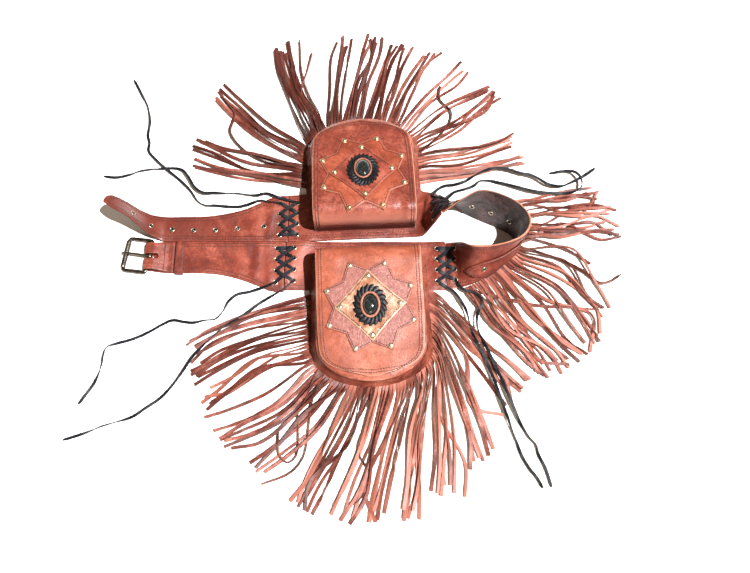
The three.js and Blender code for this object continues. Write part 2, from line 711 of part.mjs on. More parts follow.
function rosetteShape() {
  const points = [];
  for (let k = 0; k < 2 * ROSETTE.teeth; k++) {
    const angle = (Math.PI * k) / ROSETTE.teeth;
    const reach = k % 2 ? -ROSETTE.tooth : 0;
    const x = (ROSETTE.halfX + reach) * Math.cos(angle);
    points.push(new THREE.Vector2(x, (ROSETTE.halfY + reach) * Math.sin(angle)));
  }
  return new THREE.Shape(points);
}

function bezelGeometry() {
  const shape = new THREE.Shape();
  shape.absellipse(0, 0, BEZEL.halfX, BEZEL.halfY, 0, 2 * Math.PI, false);
  const hole = new THREE.Path();
  hole.absellipse(0, 0, STONE.halfX + GAP, STONE.halfY + GAP, 0, 2 * Math.PI, true);
  shape.holes.push(hole);
  return plate(shape, BEZEL.height, 20);
}

// A domed solid on its flat face; the profile runs from its middle round the rim to its top, in shares
function dome(profile, reachX, reachY, height, sides) {
  const lathe = new THREE.LatheGeometry(profile.map(([r, y]) => new THREE.Vector2(r, y)), sides);
  return lathe.rotateX(Math.PI / 2).scale(reachX, reachY, height);
}

function addBadge(parent, pouch) {
  const badge = new THREE.Group();
  const slope = Math.atan2(pouch.plane.fromUp - pouch.plane.toUp, pouch.plane.from - pouch.plane.to);
  const flapTop = planeHeight(pouch, pouch.badge) + POUCH_LEATHER / Math.cos(slope);
  badge.position.set(0, pouch.badge, flapTop);
  badge.rotation.x = slope;
  parent.add(badge);
  const put = (name, geometry, finish, height) => {
    addMesh(badge, `${pouch.name}_${name}`, geometry, finish).position.z = height;
  };
  const starTop = GAP + PATCH_LEATHER;
  const diamondTop = starTop + GAP + PATCH_LEATHER;
  const rosetteTop = diamondTop + GAP + ROSETTE.thickness;
  put("star", plate(starShape(pouch), PATCH_LEATHER), "patch", GAP);
  put("diamond", plate(diamondShape(pouch), PATCH_LEATHER, 4), "tan", starTop + GAP);
  put("rosette", plate(rosetteShape(), ROSETTE.thickness), "black", diamondTop + GAP);
  put("bezel", bezelGeometry(), "tan", rosetteTop + GAP);
  put("stone", dome(STONE.profile, STONE.halfX, STONE.halfY, STONE.height, 16), "stone", rosetteTop + GAP);
  addRivets(badge, pouch, "star", { count: 8, reach: RIVET.starRing, turn: 0, height: starTop + GAP });
  const quarter = 180 / STAR.points;
  addRivets(badge, pouch, "diamond", {
    count: 4, reach: RIVET.diamondRing, turn: quarter - 45, height: diamondTop + GAP,
  });
}

function addRivets(badge, pouch, patch, { count, reach, turn, height }) {
  for (let k = 0; k < count; k++) {
    const angle = THREE.MathUtils.degToRad(pouch.starPhase + turn + (360 / count) * k);
    const rivet = dome(RIVET.profile, RIVET.radius, RIVET.radius, RIVET.height, RIVET.sides);
    const mesh = addMesh(badge, `${pouch.name}_${patch}_rivet_${k + 1}`, rivet, "nickel");
    mesh.position.set(reach * Math.cos(angle), reach * Math.sin(angle), height);
  }
}

function addPouch(parent, pouch) {
  const group = pouchGroup(pouch);
  parent.add(group);
  addMesh(group, `${pouch.name}_gusset`, gusset(pouch), "leather");
  addMesh(group, `${pouch.name}_front`, frontPanel(pouch), "leather");
  addMesh(group, `${pouch.name}_flap`, flap(pouch), "leather");
  addBadge(group, pouch);
}

// Fringes
function pointAlong(points, share) {
  const lengths = points.slice(1).map((p, i) => p.distanceTo(points[i]));
  let left = share * lengths.reduce((sum, length) => sum + length, 0);
  let i = 0;
  while (i < lengths.length - 1 && left > lengths[i]) {
    left -= lengths[i];
    i += 1;
  }
  return points[i].clone().lerp(points[i + 1], Math.min(left / lengths[i], 1));
}

function lockShape({ from, to, tip, half }, root) {
  const count = FRINGE.lockPoints;
  const roots = Array.from({ length: count }, (_, k) =>
    pointAlong(root, THREE.MathUtils.lerp(from, to, k / (count - 1))),
  );
  const end = new THREE.Vector2(...tip);
  const run = end.clone().sub(roots[Math.floor(count / 2)]).normalize();
  const side = new THREE.Vector2(-run.y, run.x).multiplyScalar(half);
  if (side.dot(roots[count - 1].clone().sub(roots[0])) < 0) side.negate();
  return new THREE.Shape([...roots, end.clone().add(side), end.clone().sub(side)]);
}

// Locks joined by a band along the sewn edge; edge gives the band's line at an offset outwards
function fringe(edge, root, locks) {
  const band = plate(new THREE.Shape([...edge(root), ...edge(FRINGE.band).reverse()]), FRINGE.depth);
  const middle = edge(root + FRINGE.middle);
  return unite([band, ...locks.map((lock) => plate(lockShape(lock, middle), FRINGE.depth))]);
}

function pouchFringe(pouch, start, locks) {
  const turned = pouchGroup(pouch).matrix;
  const edge = (offset) => {
    const half = pouch.base.half + offset;
    return pouchOutline(half, half, start, pouch.base.end - offset).map((p) => {
      const place = new THREE.Vector3(p.x, p.y, 0).applyMatrix4(turned);
      return new THREE.Vector2(place.x, place.y);
    });
  };
  return fringe(edge, FRINGE.root, locks);
}

function hipFringe() {
  const { from, to, samples, root } = HIP_FRINGE_RUN;
  const edge = (offset) =>
    Array.from({ length: samples + 1 }, (_, k) => {
      const along = THREE.MathUtils.lerp(from, to, k / samples);
      const out = surfaces.hip.normal(along, 0).setZ(0).normalize();
      const place = surfaces.hip.point(along, 0).addScaledVector(out, BELT_LEATHER + offset);
      return new THREE.Vector2(place.x, place.y);
    });
  return fringe(edge, root, HIP_LOCKS);
}

// Laces: a flat strip along a curve, its face turned to the given normal
function ribbon(points, normal) {
  const curve = new THREE.CatmullRomCurve3(points);
  const steps = Math.max(1, Math.round(curve.getLength() / LACE.step));
  const face = (lift) =>
    Array.from({ length: steps + 1 }, (_, i) => {
      const middle = curve.getPointAt(i / steps);
      middle.z = Math.max(middle.z, LACE.floor);
      const side = normal.clone().cross(curve.getTangentAt(i / steps)).normalize();
      const out = curve.getTangentAt(i / steps).cross(side).normalize();
      middle.addScaledVector(out, lift);
      return [-1, 1].map((way) => middle.clone().addScaledVector(side, (way * LACE.width) / 2));
    });
  return slab(face(-LACE.thickness / 2), face(LACE.thickness / 2));
}

// A bar at the waist row, a cross between each pair of rows, and the two loose ends from the hem row
function lace(name, { before, after, seam }) {
  const over = ({ point, normal }, height) => point.clone().addScaledVector(normal, BELT_LEATHER + height);
  const rows = LACING_ROWS.length;
  const across = (from, to) => {
    const middle = seam((LACING_ROWS[from] + LACING_ROWS[to]) / 2);
    const start = over(before[from], LACE.over);
    const end = over(after[to], LACE.over);
    return ribbon([start, over(middle, LACE.seamOver), end], middle.normal);
  };
  const runs = [across(0, 0)];
  for (let row = 0; row + 1 < rows; row++) {
    runs.push(across(row, row + 1), across(row + 1, row));
  }
  for (const [side, places] of Object.entries({ before, after })) {
    const route = TAILS[name][side].map((p) => new THREE.Vector3(...p));
    runs.push(ribbon([over(places[rows - 1], LACE.tailOver), ...route], new THREE.Vector3(0, 0, 1)));
  }
  return unite(runs);
}

// Materials and the assembly
const FINISHES = {
  leather: { color: 0xb0583c, roughness: 0.5, metalness: 0 },
  patch: { color: 0xa55845, roughness: 0.6, metalness: 0 },
  tan: { color: 0xd08a52, roughness: 0.35, metalness: 0 },
  black: { color: 0x17181c, roughness: 0.4, metalness: 0 },
  stone: { color: 0x1f302b, roughness: 0.1, metalness: 0 },
  nickel: { color: 0xd8c9a8, roughness: 0.25, metalness: 1 },
  bronze: { color: 0x5a5043, roughness: 0.35, metalness: 1 },
};

function addMesh(parent, name, geometry, finish) {
  const mesh = new THREE.Mesh(geometry, new THREE.MeshStandardMaterial(FINISHES[finish]));
  mesh.name = name;
  parent.add(mesh);
  return mesh;
}

const belt = new THREE.Group();
addMesh(belt, "buckle_panel", bucklePanel(), "leather");
const lowerHoles = [...lacings.lower_left.after, ...lacings.lower_right.before];
addMesh(belt, "lower_back_panel", backPanel(surfaces.lowerBack, LOWER_POUCH, lowerHoles), "leather");
addMesh(belt, "hip_panel", hipPanel(), "leather");
addMesh(belt, "hip_strap", hipStrap(), "leather");
const upperHoles = [...lacings.upper_left.before, ...lacings.upper_right.after];
addMesh(belt, "upper_back_panel", backPanel(surfaces.upperBack, UPPER_POUCH, upperHoles), "leather");
addMesh(belt, "tongue_panel", tonguePanel(), "leather");
addMesh(belt, "keeper", keeper(), "leather");
addBuckle(belt);
addPouch(belt, LOWER_POUCH);
addPouch(belt, UPPER_POUCH);
addMesh(belt, "lower_fringe", pouchFringe(LOWER_POUCH, LOWER_FRINGE_START, LOWER_LOCKS), "leather");
addMesh(belt, "upper_fringe", pouchFringe(UPPER_POUCH, UPPER_FRINGE_START, UPPER_LOCKS), "leather");
addMesh(belt, "hip_fringe", hipFringe(), "leather");
for (const [place, ends] of Object.entries(lacings)) {
  addMesh(belt, `lace_${place}`, lace(`lace_${place}`, ends), "black");
}

export default belt;
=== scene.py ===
# Belt bag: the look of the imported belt. Sizes are in millimetres here and turned to metres in each mesh.
import math
import bpy
import numpy as np
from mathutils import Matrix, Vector
from mathutils.geometry import delaunay_2d_cdt


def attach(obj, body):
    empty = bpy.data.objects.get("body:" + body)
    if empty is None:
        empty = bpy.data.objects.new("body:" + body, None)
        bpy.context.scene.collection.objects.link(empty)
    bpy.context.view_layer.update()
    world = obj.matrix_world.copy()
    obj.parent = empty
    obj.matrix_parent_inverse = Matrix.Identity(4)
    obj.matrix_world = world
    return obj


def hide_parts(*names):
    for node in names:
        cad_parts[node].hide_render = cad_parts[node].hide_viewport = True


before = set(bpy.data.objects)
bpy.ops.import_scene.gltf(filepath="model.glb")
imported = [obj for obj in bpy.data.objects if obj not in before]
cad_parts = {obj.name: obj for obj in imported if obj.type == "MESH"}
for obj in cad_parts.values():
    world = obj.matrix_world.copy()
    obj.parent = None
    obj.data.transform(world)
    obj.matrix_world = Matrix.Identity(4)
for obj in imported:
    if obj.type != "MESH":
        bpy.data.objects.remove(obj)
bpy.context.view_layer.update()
rng = np.random.default_rng(11)

MM = 0.001
UP = np.array([0.0, 0.0, 1.0])
TURN = 2 * np.pi

# Leather thicknesses, the gap between layers and the least height over the floor
BELT, POUCH, PATCH = 2.4, 1.6, 1.5
GAP = 0.3
LEAST_HEIGHT = 0.05


def level(*rows):
    """Stations of a stretch that lies flat, from its X and the Y of its hem and of its waist edge."""
    return [[(x, hem, 0), (x, waist, 0)] for x, hem, waist in rows]


# Belt panels from the buckle to the tongue. Stations: a point of the hem and one of the waist edge, on the
# lining side. Ridges across the panel: distance along it, lean, height and half width. Painted light, the
# highlights, sheen and shade painted into its tone: distance along it and from the hem, half sizes and
# amount. Meet: Y where the waist edges of two panels meet. Bulge: how far a free end is rounded.
PANELS = {
    "buckle": {
        "stations": level(
            (-267, -21.2, 12.8), (-246, -24, 15.4), (-221, -24.5, 15.5), (-203, -24.5, 16.2),
            (-178, -26.5, 16.6), (-153, -32.6, 16.6), (-134, -39.5, 16.6), (-119, -46, 16.6),
            (-108, -48.6, 16.6), (-98.6, -49, 16.6)),
        "ridges": [(134, 0.15, 1.3, 5), (150, -0.1, 1.6, 5), (118, 0.3, 0.9, 6)],
        # Painted highlights on the soft folds near the lacing, painted shade in the crease between them and
        # near the turned-back end
        "glows": [(142, 30, 8, 40, 0.2), (130, 34, 6, 30, -0.25), (116, 30, 7, 24, 0.2),
                  (18, 20, 22, 30, -0.15)],
        "meet": 16.87,
    },
    "lower": {
        "stations": level((-98, -46.5, 16.6), (98.7, -46.5, 15.5)),
        "ridges": [(5, 0.5, 3.4, 12), (191, 0.1, 2.0, 8)],
        # A painted sheen beside the lacing
        "glows": [(17, 38, 10, 24, 0.8)],
        "meet": 16.87,
    },
    "hip": {
        "stations": [
            *level((100.4, -46.8, 15.4)), [(112, -43.5, 0), (112, 14, 8)], [(120, -41, 0), (118.5, 4, 34)],
            [(134, -35, 0), (126, -8, 56)], [(156, -23, 0), (147, -9, 60)], [(175, -6, 0), (170, -4, 62)],
            [(185, 8, 0), (186, 6, 62)], [(182, 24, 0), (192.5, 23, 61)], [(168, 34, 0), (181.5, 41, 61)],
            [(148, 43, 0), (160, 53.5, 61)], [(128, 53, 0), (136, 57.5, 62)], [(110, 66, 0), (116, 47, 60)],
            [(92.4, 80.5, 0), (93.4, 36.2, 44)],
        ],
        # Painted shade between the lacing and the strap
        "glows": [(20, 30, 18, 60, -0.25)],
    },
    "upper": {
        "stations": [
            [(91.6, 80.6, 0), (92.6, 36.2, 43.2)], [(81, 83.4, 0), (81.5, 29, 20)],
            [(73, 85.2, 0), (73, 25.6, 2)], *level((66, 85.5, 25.2), (0, 84.4, 22.4), (-96.1, 80, 17.4)),
        ],
        "ridges": [(22, 0.3, 1.8, 4), (12, -0.2, 1.6, 4), (172, 0.0, 1.5, 8)],
        # A painted highlight on the crumple near the lacing, and a painted shadow line along the flap's root
        "glows": [(20, 30, 8, 30, 0.2), (101, 49, 60, 4, -0.8)],
        "meet": 16.92,
    },
    "tongue": {
        "stations": [
            *level((-96.7, 79.5, 17.3), (-108, 79, 17.2), (-120, 76, 17.2), (-134, 69, 17.2),
                   (-152, 60.8, 17.2), (-177, 54.3, 17.3), (-202, 51, 17.9), (-227, 50.5, 18.2),
                   (-250, 50.5, 18.4)),
            [(-267, 51.5, 2.5), (-264, 21, 9)], [(-281, 55, 9), (-276, 28, 25)],
            [(-298, 62, 22), (-289, 36.5, 39)], [(-311, 64, 34), (-306, 44.5, 42)],
            [(-315, 61, 37), (-313.5, 51, 40.5)],
        ],
        "ridges": [(22, 0.1, 1.2, 5), (40, -0.2, 1.0, 6), (150, 0.3, 0.8, 5), (168, 0.2, 0.8, 4)],
        # Darker along most of its length and towards the tip; a painted highlight and painted shade near the
        # lacing
        "glows": [(130, 20, 80, 60, -0.34), (34, 25, 8, 30, 0.35), (22, 25, 5, 30, -0.2),
                  (215, 15, 45, 40, -0.25)],
        "meet": 16.92,
        "bulge": 3.5,
    },
}
PANEL_WAVES = 0.35

# Eyelets: places across as shares of the width, those of the tongue with their distance from its tip
LACING_ROWS, LACING_INSET = (0.865, 0.64, 0.41, 0.18), 10.5
TONGUE_EYELETS = [(34.5, 0.56), (61.3, 0.57), (89.4, 0.56), (116.1, 0.57), (142.7, 0.58), (170.9, 0.59),
                  (204.1, 0.64)]
EYELET_HOLE, EYELET_SIDES = 2.2, 20
EYELET_RING = [(2.05, -0.3), (2.1, 0.3), (2.3, 0.7), (2.75, 0.85), (3.2, 0.6), (3.5, 0.1), (3.5, -0.3)]
# A black funnel that nearly closes the hole: painted shade inside the eyelet
EYELET_SHADE_FUNNEL = [(2.05, 0.1), (0.5, -1.55), (2.15, -1.75), (2.15, 0.1)]

# Strap on the hip panel: its run and band as shares of the panel, its eyelets and its pointed ends
HIP_STRAP_RUN, HIP_STRAP_BAND, HIP_STRAP_ACROSS = (0.2, 0.92), (0.14, 0.58), 61
HIP_STRAP_GAP, HIP_STRAP_THICKNESS = 0.9, 1.8
HIP_STRAP_EYELETS, HIP_STRAP_ROW = (20, 81, 106, 131, 156), 0.37
HIP_STRAP_POINT, HIP_STRAP_SIDE = [(0, 0), (3, 0.35), (9, 0.78)], 17

# Strap end turned back over the heel bar: its line in X and Z, half widths along it, and the prong's slot
TURN_BACK = [(-262, 2.2), (-267, 2.2), (-269.1, 3.1), (-270, 5.2), (-269.1, 7.3), (-267, 8.2), (-259, 8.2),
             (-250, 5.2), (-243, 2.8), (-235, 2.2)]
TURN_BACK_WIDTHS = [(0, 17), (22, 17.2), (30, 18.2), (39, 19.2), (60, 19.6)]
TURN_BACK_Y, TURN_BACK_THICKNESS, TURN_BACK_SEAMS = -4.2, 2.0, (3.0, 12.5)
SLOT_HALF, SLOT_END, SLOT_BELOW_END = 2.8, -254.5, -260.5
KEEPER_X, KEEPER_Y = (-233, -223), (-24.9, 15.9)
KEEPER_ROOM, KEEPER_THICKNESS, KEEPER_SHOULDER, KEEPER_SEAM = 2.6, 1.6, 2.4, 1.5

# Laces: the panels each one joins, and its loose ends with their length and route from the hem eyelet
LACE_WIDTH, TAIL_WIDTH, LACE_THICKNESS, LACE_FLOOR = 4.0, 3.5, 1.3, 0.9
LACES = {"lace_lower_left": ("buckle", "lower"), "lace_lower_right": ("lower", "hip"),
         "lace_upper_right": ("hip", "upper"), "lace_upper_left": ("upper", "tongue")}
TAILS = {
    ("lace_upper_left", "before"): (271, [
        (-108, 75, 4.6), (-125, 82, 3), (-139, 80, 1), (-164, 82, 1), (-192, 83, 3), (-205, 82, 5.4),
        (-216, 89, 6), (-225, 103, 6), (-234, 114, 4), (-244, 118, 1), (-265, 117, 1), (-286, 114, 1),
        (-302, 109, 1), (-319, 105, 1), (-335, 107, 1)]),
    ("lace_upper_left", "after"): (321, [
        (-120, 70, 4.2), (-133, 72, 4.2), (-149, 66, 3.6), (-163, 64, 1.6), (-191, 66, 1), (-201, 66, 1),
        (-211, 71, 1), (-222, 86, 2.4), (-238, 102, 1), (-256, 117, 3.2), (-270, 130, 1), (-281, 143, 1),
        (-281, 155, 1), (-284, 166, 1), (-283, 187, 1), (-288, 209, 1), (-299, 229, 1), (-310, 249, 1)]),
    ("lace_lower_left", "before"): (298, [
        (-120, -42, 4.4), (-139, -48, 2), (-156, -52, 1), (-165, -60, 1), (-172, -75, 1), (-180, -83, 1),
        (-191, -84, 1), (-206, -87, 1), (-218, -86, 1), (-231, -84, 1), (-242, -89, 1), (-257, -98, 1),
        (-276, -107, 1), (-296, -113, 1), (-306, -117, 1), (-309, -126, 1), (-310, -140, 1), (-316, -159, 1),
        (-332, -185, 1)]),
    ("lace_lower_left", "after"): (329, [
        (-98, -45, 4.6), (-109, -52, 4.4), (-128, -65, 5.6), (-143, -77, 5.8), (-165, -91, 5.8),
        (-180, -105, 5.8), (-191, -116, 5.8), (-203, -130, 5.8), (-213, -147, 5.6), (-226, -165, 2.6),
        (-238, -178, 1), (-253, -189, 1), (-269, -200, 1), (-284, -205, 1), (-300, -210, 1), (-320, -218, 1),
        (-345, -226, 1)]),
    ("lace_lower_right", "before"): (274, [
        (98, -43, 4.6), (107, -49, 5.2), (113, -57, 5.8), (121, -72, 5.8), (125, -89, 5.8), (130, -107, 5.8),
        (138, -123, 5.8), (145, -141, 5.8), (154, -167, 5.8), (160, -187, 5.8), (167, -209, 4),
        (172, -224, 1), (178, -242, 1), (186, -257, 1), (195, -269, 1), (200, -279, 1)]),
    ("lace_lower_right", "after"): (279, [
        (118, -46, 6.2), (130, -50, 6.2), (139, -56, 6.2), (141, -65, 6.2), (135, -76, 6.2), (134, -95, 6.2),
        (141, -113, 6.2), (150, -133, 6.2), (160, -158, 6.2), (170, -184, 5.4), (180, -209, 2),
        (188, -223, 1), (195, -231, 1), (197, -241, 1), (204, -256, 1), (210, -278, 1)]),
    ("lace_upper_right", "after"): (238, [
        (92, 87, 4.6), (100, 92, 4), (114, 94, 4.8), (127, 98, 5.6), (138, 105, 6), (149, 111, 6),
        (164, 116, 6), (180, 115, 6), (198, 109, 6), (209, 107, 5.6), (219, 102, 5.6), (231, 94, 5.8),
        (248, 91, 5.8), (267, 99, 5.8), (281, 107, 5.8), (294, 118, 1.2)]),
    ("lace_upper_right", "before"): (243, [
        (113, 84, 3), (124, 88, 1.4), (138, 93, 2.4), (145, 99, 2.8), (155, 100, 2.6), (174, 96, 3.2),
        (198, 88, 5.8), (213, 84, 5.8), (237, 81, 5.8), (260, 82, 5.8), (272, 88, 7.6), (274, 98, 7.8),
        (268, 109, 7.4), (257, 113, 4), (236, 111, 1.2)]),
}

# Pouches, in a frame on the belt's waist edge whose -Y runs to the pouch's end. Base and front: half width at
# the mouth, half width and end. Profile and plane: the flap's line in Y and Z. Creases: place, half sizes and
# height. Painted highlight: the flap's tone, and the middle, half length and amount of its painted highlight.
POUCHES = {
    "lower": {
        "at": (2.5, 15.5), "turn": 2.5, "base": (70, 73, -181), "front": (62, 65, -177), "mouth": -34,
        "profile": [(-9, 2.7), (-13, 2.9), (-15, 14), (-17, 28), (-21, 37), (-27, 40)],
        "plane": [(-27, 40), (-172, 24)],
        "badge": -91, "star_phase": 24.4, "teeth": 19, "bezel": (11.6, 15.9), "stone": (8.7, 12.1),
        "shoulder": 5, "creases": [(20, 52, 30, 9, 1.0), (-40, 60, 9, 16, 0.9)], "glow": (0.42, 60, 40, 0.1),
    },
    "upper": {
        "at": (0.5, 22.5), "turn": 182.5, "base": (63, 73, -163), "front": (58, 65, -157), "mouth": -30,
        "profile": [(-11.5, 2.7), (-15.5, 2.9), (-13.4, 12), (-11.6, 26), (-13, 41), (-19, 48)],
        "plane": [(-19, 48), (-152, 24)],
        "badge": -70, "star_phase": 24.4, "teeth": 23, "bezel": (11, 15.3), "stone": (8.9, 13.0),
        "shoulder": 9, "creases": [(-52, 36, 5, 12, 2.2), (-44, 46, 5, 9, -1.2)], "glow": (0.46, 27, 12, 0.6),
    },
}
POUCH_MOUTH, POUCH_ROUND, GUSSET_BULGE = -20, 45, 2.2
FRONT_RIM, FRONT_RIM_DROP = 9, 2.4
FLAP_HALF, FLAP_CROWN = 62.5, 1.6
FLAP_END = [(39, 61.5), (28, 60), (21, 56.5), (15, 49.5), (10, 39), (5, 23), (0, 5)]
# Painted shadow along the flap's sewn root: how dark it is and how far it reaches
FLAP_ROOT_SHADOW, FLAP_ROOT_SHADOW_REACH = 0.8, 12.0
STAR_TIP, STAR_NOTCH, STAR_POINTS = 58, 43.5, 8
DIAMOND_CORNER, DIAMOND_DENT = 42.3, 27.5
PATCH_SEAM, ROSETTE, STONE_HEIGHT = 2.2, (20.3, 25), 5.6
STAR_RIVETS, DIAMOND_RIVETS = 52.5, 34.7
RIVET_PROFILE = [(0, 0), (3.2, 0), (3.25, 0.35), (2.95, 0.6), (2.75, 0.75), (2.5, 1.35), (1.9, 1.85),
                 (1.0, 2.15), (0, 2.25)]

# Fringes: strips cut from one band lie in locks. A lock has its share of the sewn edge, the middle and half
# width of its tips, its tone, and how far it bows outwards as a share of its length.
STRIP_WIDTH, STRIP_THICKNESS, STRIP_STEP = 3.8, 1.4, 5.0
LOWER_LOCKS = [
    (0, 0.09, (-208, -117), 10, 0.3, 0.05), (0.09, 0.18, (-203, -150), 14, 0.3, 0.07),
    (0.18, 0.27, (-185, -187), 15, 0.35, 0.08), (0.27, 0.35, (-160, -225), 15, 0.4, 0.07),
    (0.35, 0.42, (-124, -259), 14, 0.5, 0.05), (0.42, 0.5, (-69, -297), 12, 0.65, 0.02),
    (0.5, 0.58, (-26, -310), 16, 0.75, 0.02), (0.58, 0.66, (12, -313), 11, 0.8, 0.0),
    (0.66, 0.74, (50, -311), 13, 0.8, 0.0), (0.74, 0.82, (92, -287), 16, 0.7, 0.02),
    (0.82, 0.9, (134, -250), 20, 0.6, 0.03), (0.9, 1, (180, -178), 30, 0.6, 0.02),
]
UPPER_LOCKS = [
    (0, 0.07, (201, 130), 8, 0.6, 0.02), (0.07, 0.15, (199, 160), 14, 0.65, 0.04),
    (0.15, 0.27, (171, 231), 12, 0.5, 0.05), (0.27, 0.33, (133, 267), 13, 0.5, 0.04),
    (0.33, 0.38, (92, 291), 11, 0.45, 0.03), (0.38, 0.49, (50, 308), 15, 0.3, 0.02),
    (0.49, 0.58, (12, 316), 10, 0.2, 0.02), (0.58, 0.66, (-26, 313), 9, 0.12, 0.02),
    (0.66, 0.79, (-117, 299), 12, 0.05, 0.05), (0.79, 0.88, (-195, 227), 12, 0.12, 0.06),
    (0.88, 0.95, (-221, 157), 12, 0.1, 0.05), (0.95, 1, (-222, 124), 9, 0.15, 0.02),
]
HIP_LOCKS = [
    (0, 0.12, (213, -151), 8, 0.65, 0.04), (0.12, 0.24, (234, -142), 10, 0.65, 0.05),
    (0.24, 0.36, (255, -128), 12, 0.7, 0.06), (0.36, 0.47, (273, -111), 12, 0.65, 0.08),
    (0.47, 0.56, (285, -76), 14, 0.65, 0.14), (0.56, 0.7, (314, 29), 10, 0.55, 0.03),
    (0.7, 0.85, (312, 57), 11, 0.55, 0.03), (0.85, 1, (293, 82), 9, 0.55, 0.03),
]

# Single strips that stray from their lock: routes on the floor from the sewn edge to the tip
STRAY_STRIPS = {
    "lower": [
        [(-47, -147), (-60, -180), (-63, -207), (-70, -245), (-84, -262), (-115, -275)],
        [(-55, -143), (-68, -180), (-77, -195), (-77, -215), (-79, -244), (-87, -250), (-96, -240),
         (-99, -215)],
        [(8, -164), (4, -203), (-7, -232), (-6, -244), (3, -259), (4, -278), (-12, -297)],
    ],
    "upper": [
        [(-52, 165), (-62, 195), (-74, 220), (-85, 262), (-92, 310)],
        [(-58, 160), (-72, 200), (-86, 226), (-77, 262), (-73, 290)],
        [(70, 140), (92, 160), (112, 196), (98, 222), (100, 238)],
        [(-72, 118), (-118, 122), (-150, 138), (-176, 170), (-172, 196), (-190, 222)],
    ],
    "hip": [
        [(186, 11), (235, -5), (266, -23), (285, -38), (301, -34), (312, -26)],
        [(191, 21), (212, 19), (248, 4), (277, -12)],
        [(127, -46), (169, -57), (208, -67), (249, -70), (282, -72)],
    ],
}

# Buckle, in a frame with its heel bar along Y and its roller towards -X
BUCKLE_HEEL, BUCKLE_TURN, BUCKLE_DIP = np.array([-265, -4.2, 5.2]), -8.0, 3.4
BUCKLE_DEPTH, BUCKLE_HALF, BUCKLE_CORNER = 30, 20.8, 4.0
BUCKLE_ARM, BUCKLE_BAR, BUCKLE_FLAT = 2.4, 1.8, 0.9
ROLLER_HALF, ROLLER_RADIUS, ROLLER_END, ROLLER_ROWS = 17.5, 3.1, 2.7, 36
PRONG_EYE, PRONG_EYE_BAR, PRONG_EYE_WIDEN = 3.1, 0.95, 1.7
PRONG_PIN = [(-1, 0, 3.1), (-9, 0, 4.2), (-20, 0, 5.2), (-29, 0, 5.1), (-33.5, 0, 4.6)]

# Light and floor, in metres
SUN_WAY, SUN_ENERGY, SUN_ANGLE = (0.43, -0.11, 0.9), 9.5, 1.6
SKY_COLOUR, HORIZON_COLOUR = (0.2, 0.14, 0.09), (0.8, 0.785, 0.765)
HORIZON_TOP, SKY_FROM = 0.2, 0.4
WINDOW_AT, WINDOW_SIZE, WINDOW_ENERGY = (0.12, -1.05, 0.62), (0.55, 0.35), 3.4
WINDOW_COLOUR = (1.0, 0.84, 0.68)
FLOOR_SIZE, FLOOR_DEPTH = 120, -0.0002

# Camera, fitted to the photograph: its place, what it looks at and its lens on a 36 mm sensor
CAMERA_AT, CAMERA_TO, CAMERA_LENS = (12, -323.7, 870.2), (12, -41, 0), 36


# Curves and lines
def unit(v):
    return v / np.maximum(np.linalg.norm(v, axis=-1, keepdims=True), 1e-9)


def columns(*values):
    return np.stack(values, axis=1)


def oval(half_x, half_y, angle):
    return np.stack([half_x * np.cos(angle), half_y * np.sin(angle)], axis=-1)


def round_angles(count):
    return np.linspace(0, TURN, count, endpoint=False)


def spline(points, shares):
    """Places on a smooth curve through points; shares run from 0 to 1, counted by control point."""
    points = np.asarray(points, float)
    padded = np.vstack([2 * points[0] - points[1], points, 2 * points[-1] - points[-2]])
    spot = np.clip(shares, 0, 1) * (len(points) - 1)
    k = np.minimum(spot.astype(int), len(points) - 2)
    w = (spot - k)[:, None]
    p0, p1, p2, p3 = (padded[k + i] for i in range(4))
    knot = lambda step: np.sqrt(np.linalg.norm(step, axis=1))[:, None] + 1e-6
    d0, d1, d2 = knot(p1 - p0), knot(p2 - p1), knot(p3 - p2)
    t1 = d1 * ((p1 - p0) / d0 - (p2 - p0) / (d0 + d1) + (p2 - p1) / d1)
    t2 = d1 * ((p2 - p1) / d1 - (p3 - p1) / (d1 + d2) + (p3 - p2) / d2)
    return p1 + t1 * w + (3 * (p2 - p1) - 2 * t1 - t2) * w**2 + (2 * (p1 - p2) + t1 + t2) * w**3


def run_lengths(points):
    return np.concatenate([[0], np.cumsum(np.linalg.norm(np.diff(points, axis=0), axis=1))])


def rows_at(where, at, rows):
    return columns(*(np.interp(where, at, column) for column in rows.T))


def at_lengths(points, where):
    """Places on a polyline at given distances along it."""
    return rows_at(where, run_lengths(points), points)


def even(points, step):
    total = run_lengths(points)[-1]
    return at_lengths(points, np.linspace(0, total, max(2, int(round(total / step)) + 1)))


def even_loop(loop, step):
    return even(np.vstack([loop, loop[:1]]), step)[:-1]


def between(a, b, step=3.0):
    """Even points from a to b, without the two."""
    return even(np.stack([a, b]), step)[1:-1]


def smooth_path(points, step):
    return even(spline(points, np.linspace(0, 1, 24 * (len(points) - 1) + 1)), step)


def rounded(line, spread):
    """An evenly spaced line with its bends eased over a distance on each side, its ends kept."""
    reach = int(3 * spread)
    weight = np.exp(-0.5 * (np.arange(-reach, reach + 1) / spread) ** 2)
    padded = np.vstack([2 * line[0] - line[reach:0:-1], line, 2 * line[-1] - line[-2:-reach - 2:-1]])
    return columns(*(np.convolve(column, weight / weight.sum(), "valid") for column in padded.T))


def way_of(line):
    return unit(np.gradient(line, axis=0))


def left_of(line):
    """The way to the left of a flat line, at each of its points."""
    run = way_of(line)
    return columns(-run[:, 1], run[:, 0])


def turned(points, degrees):
    c, s = math.cos(math.radians(degrees)), math.sin(math.radians(degrees))
    return points @ np.array([[c, s, 0], [-s, c, 0], [0, 0, 1]])


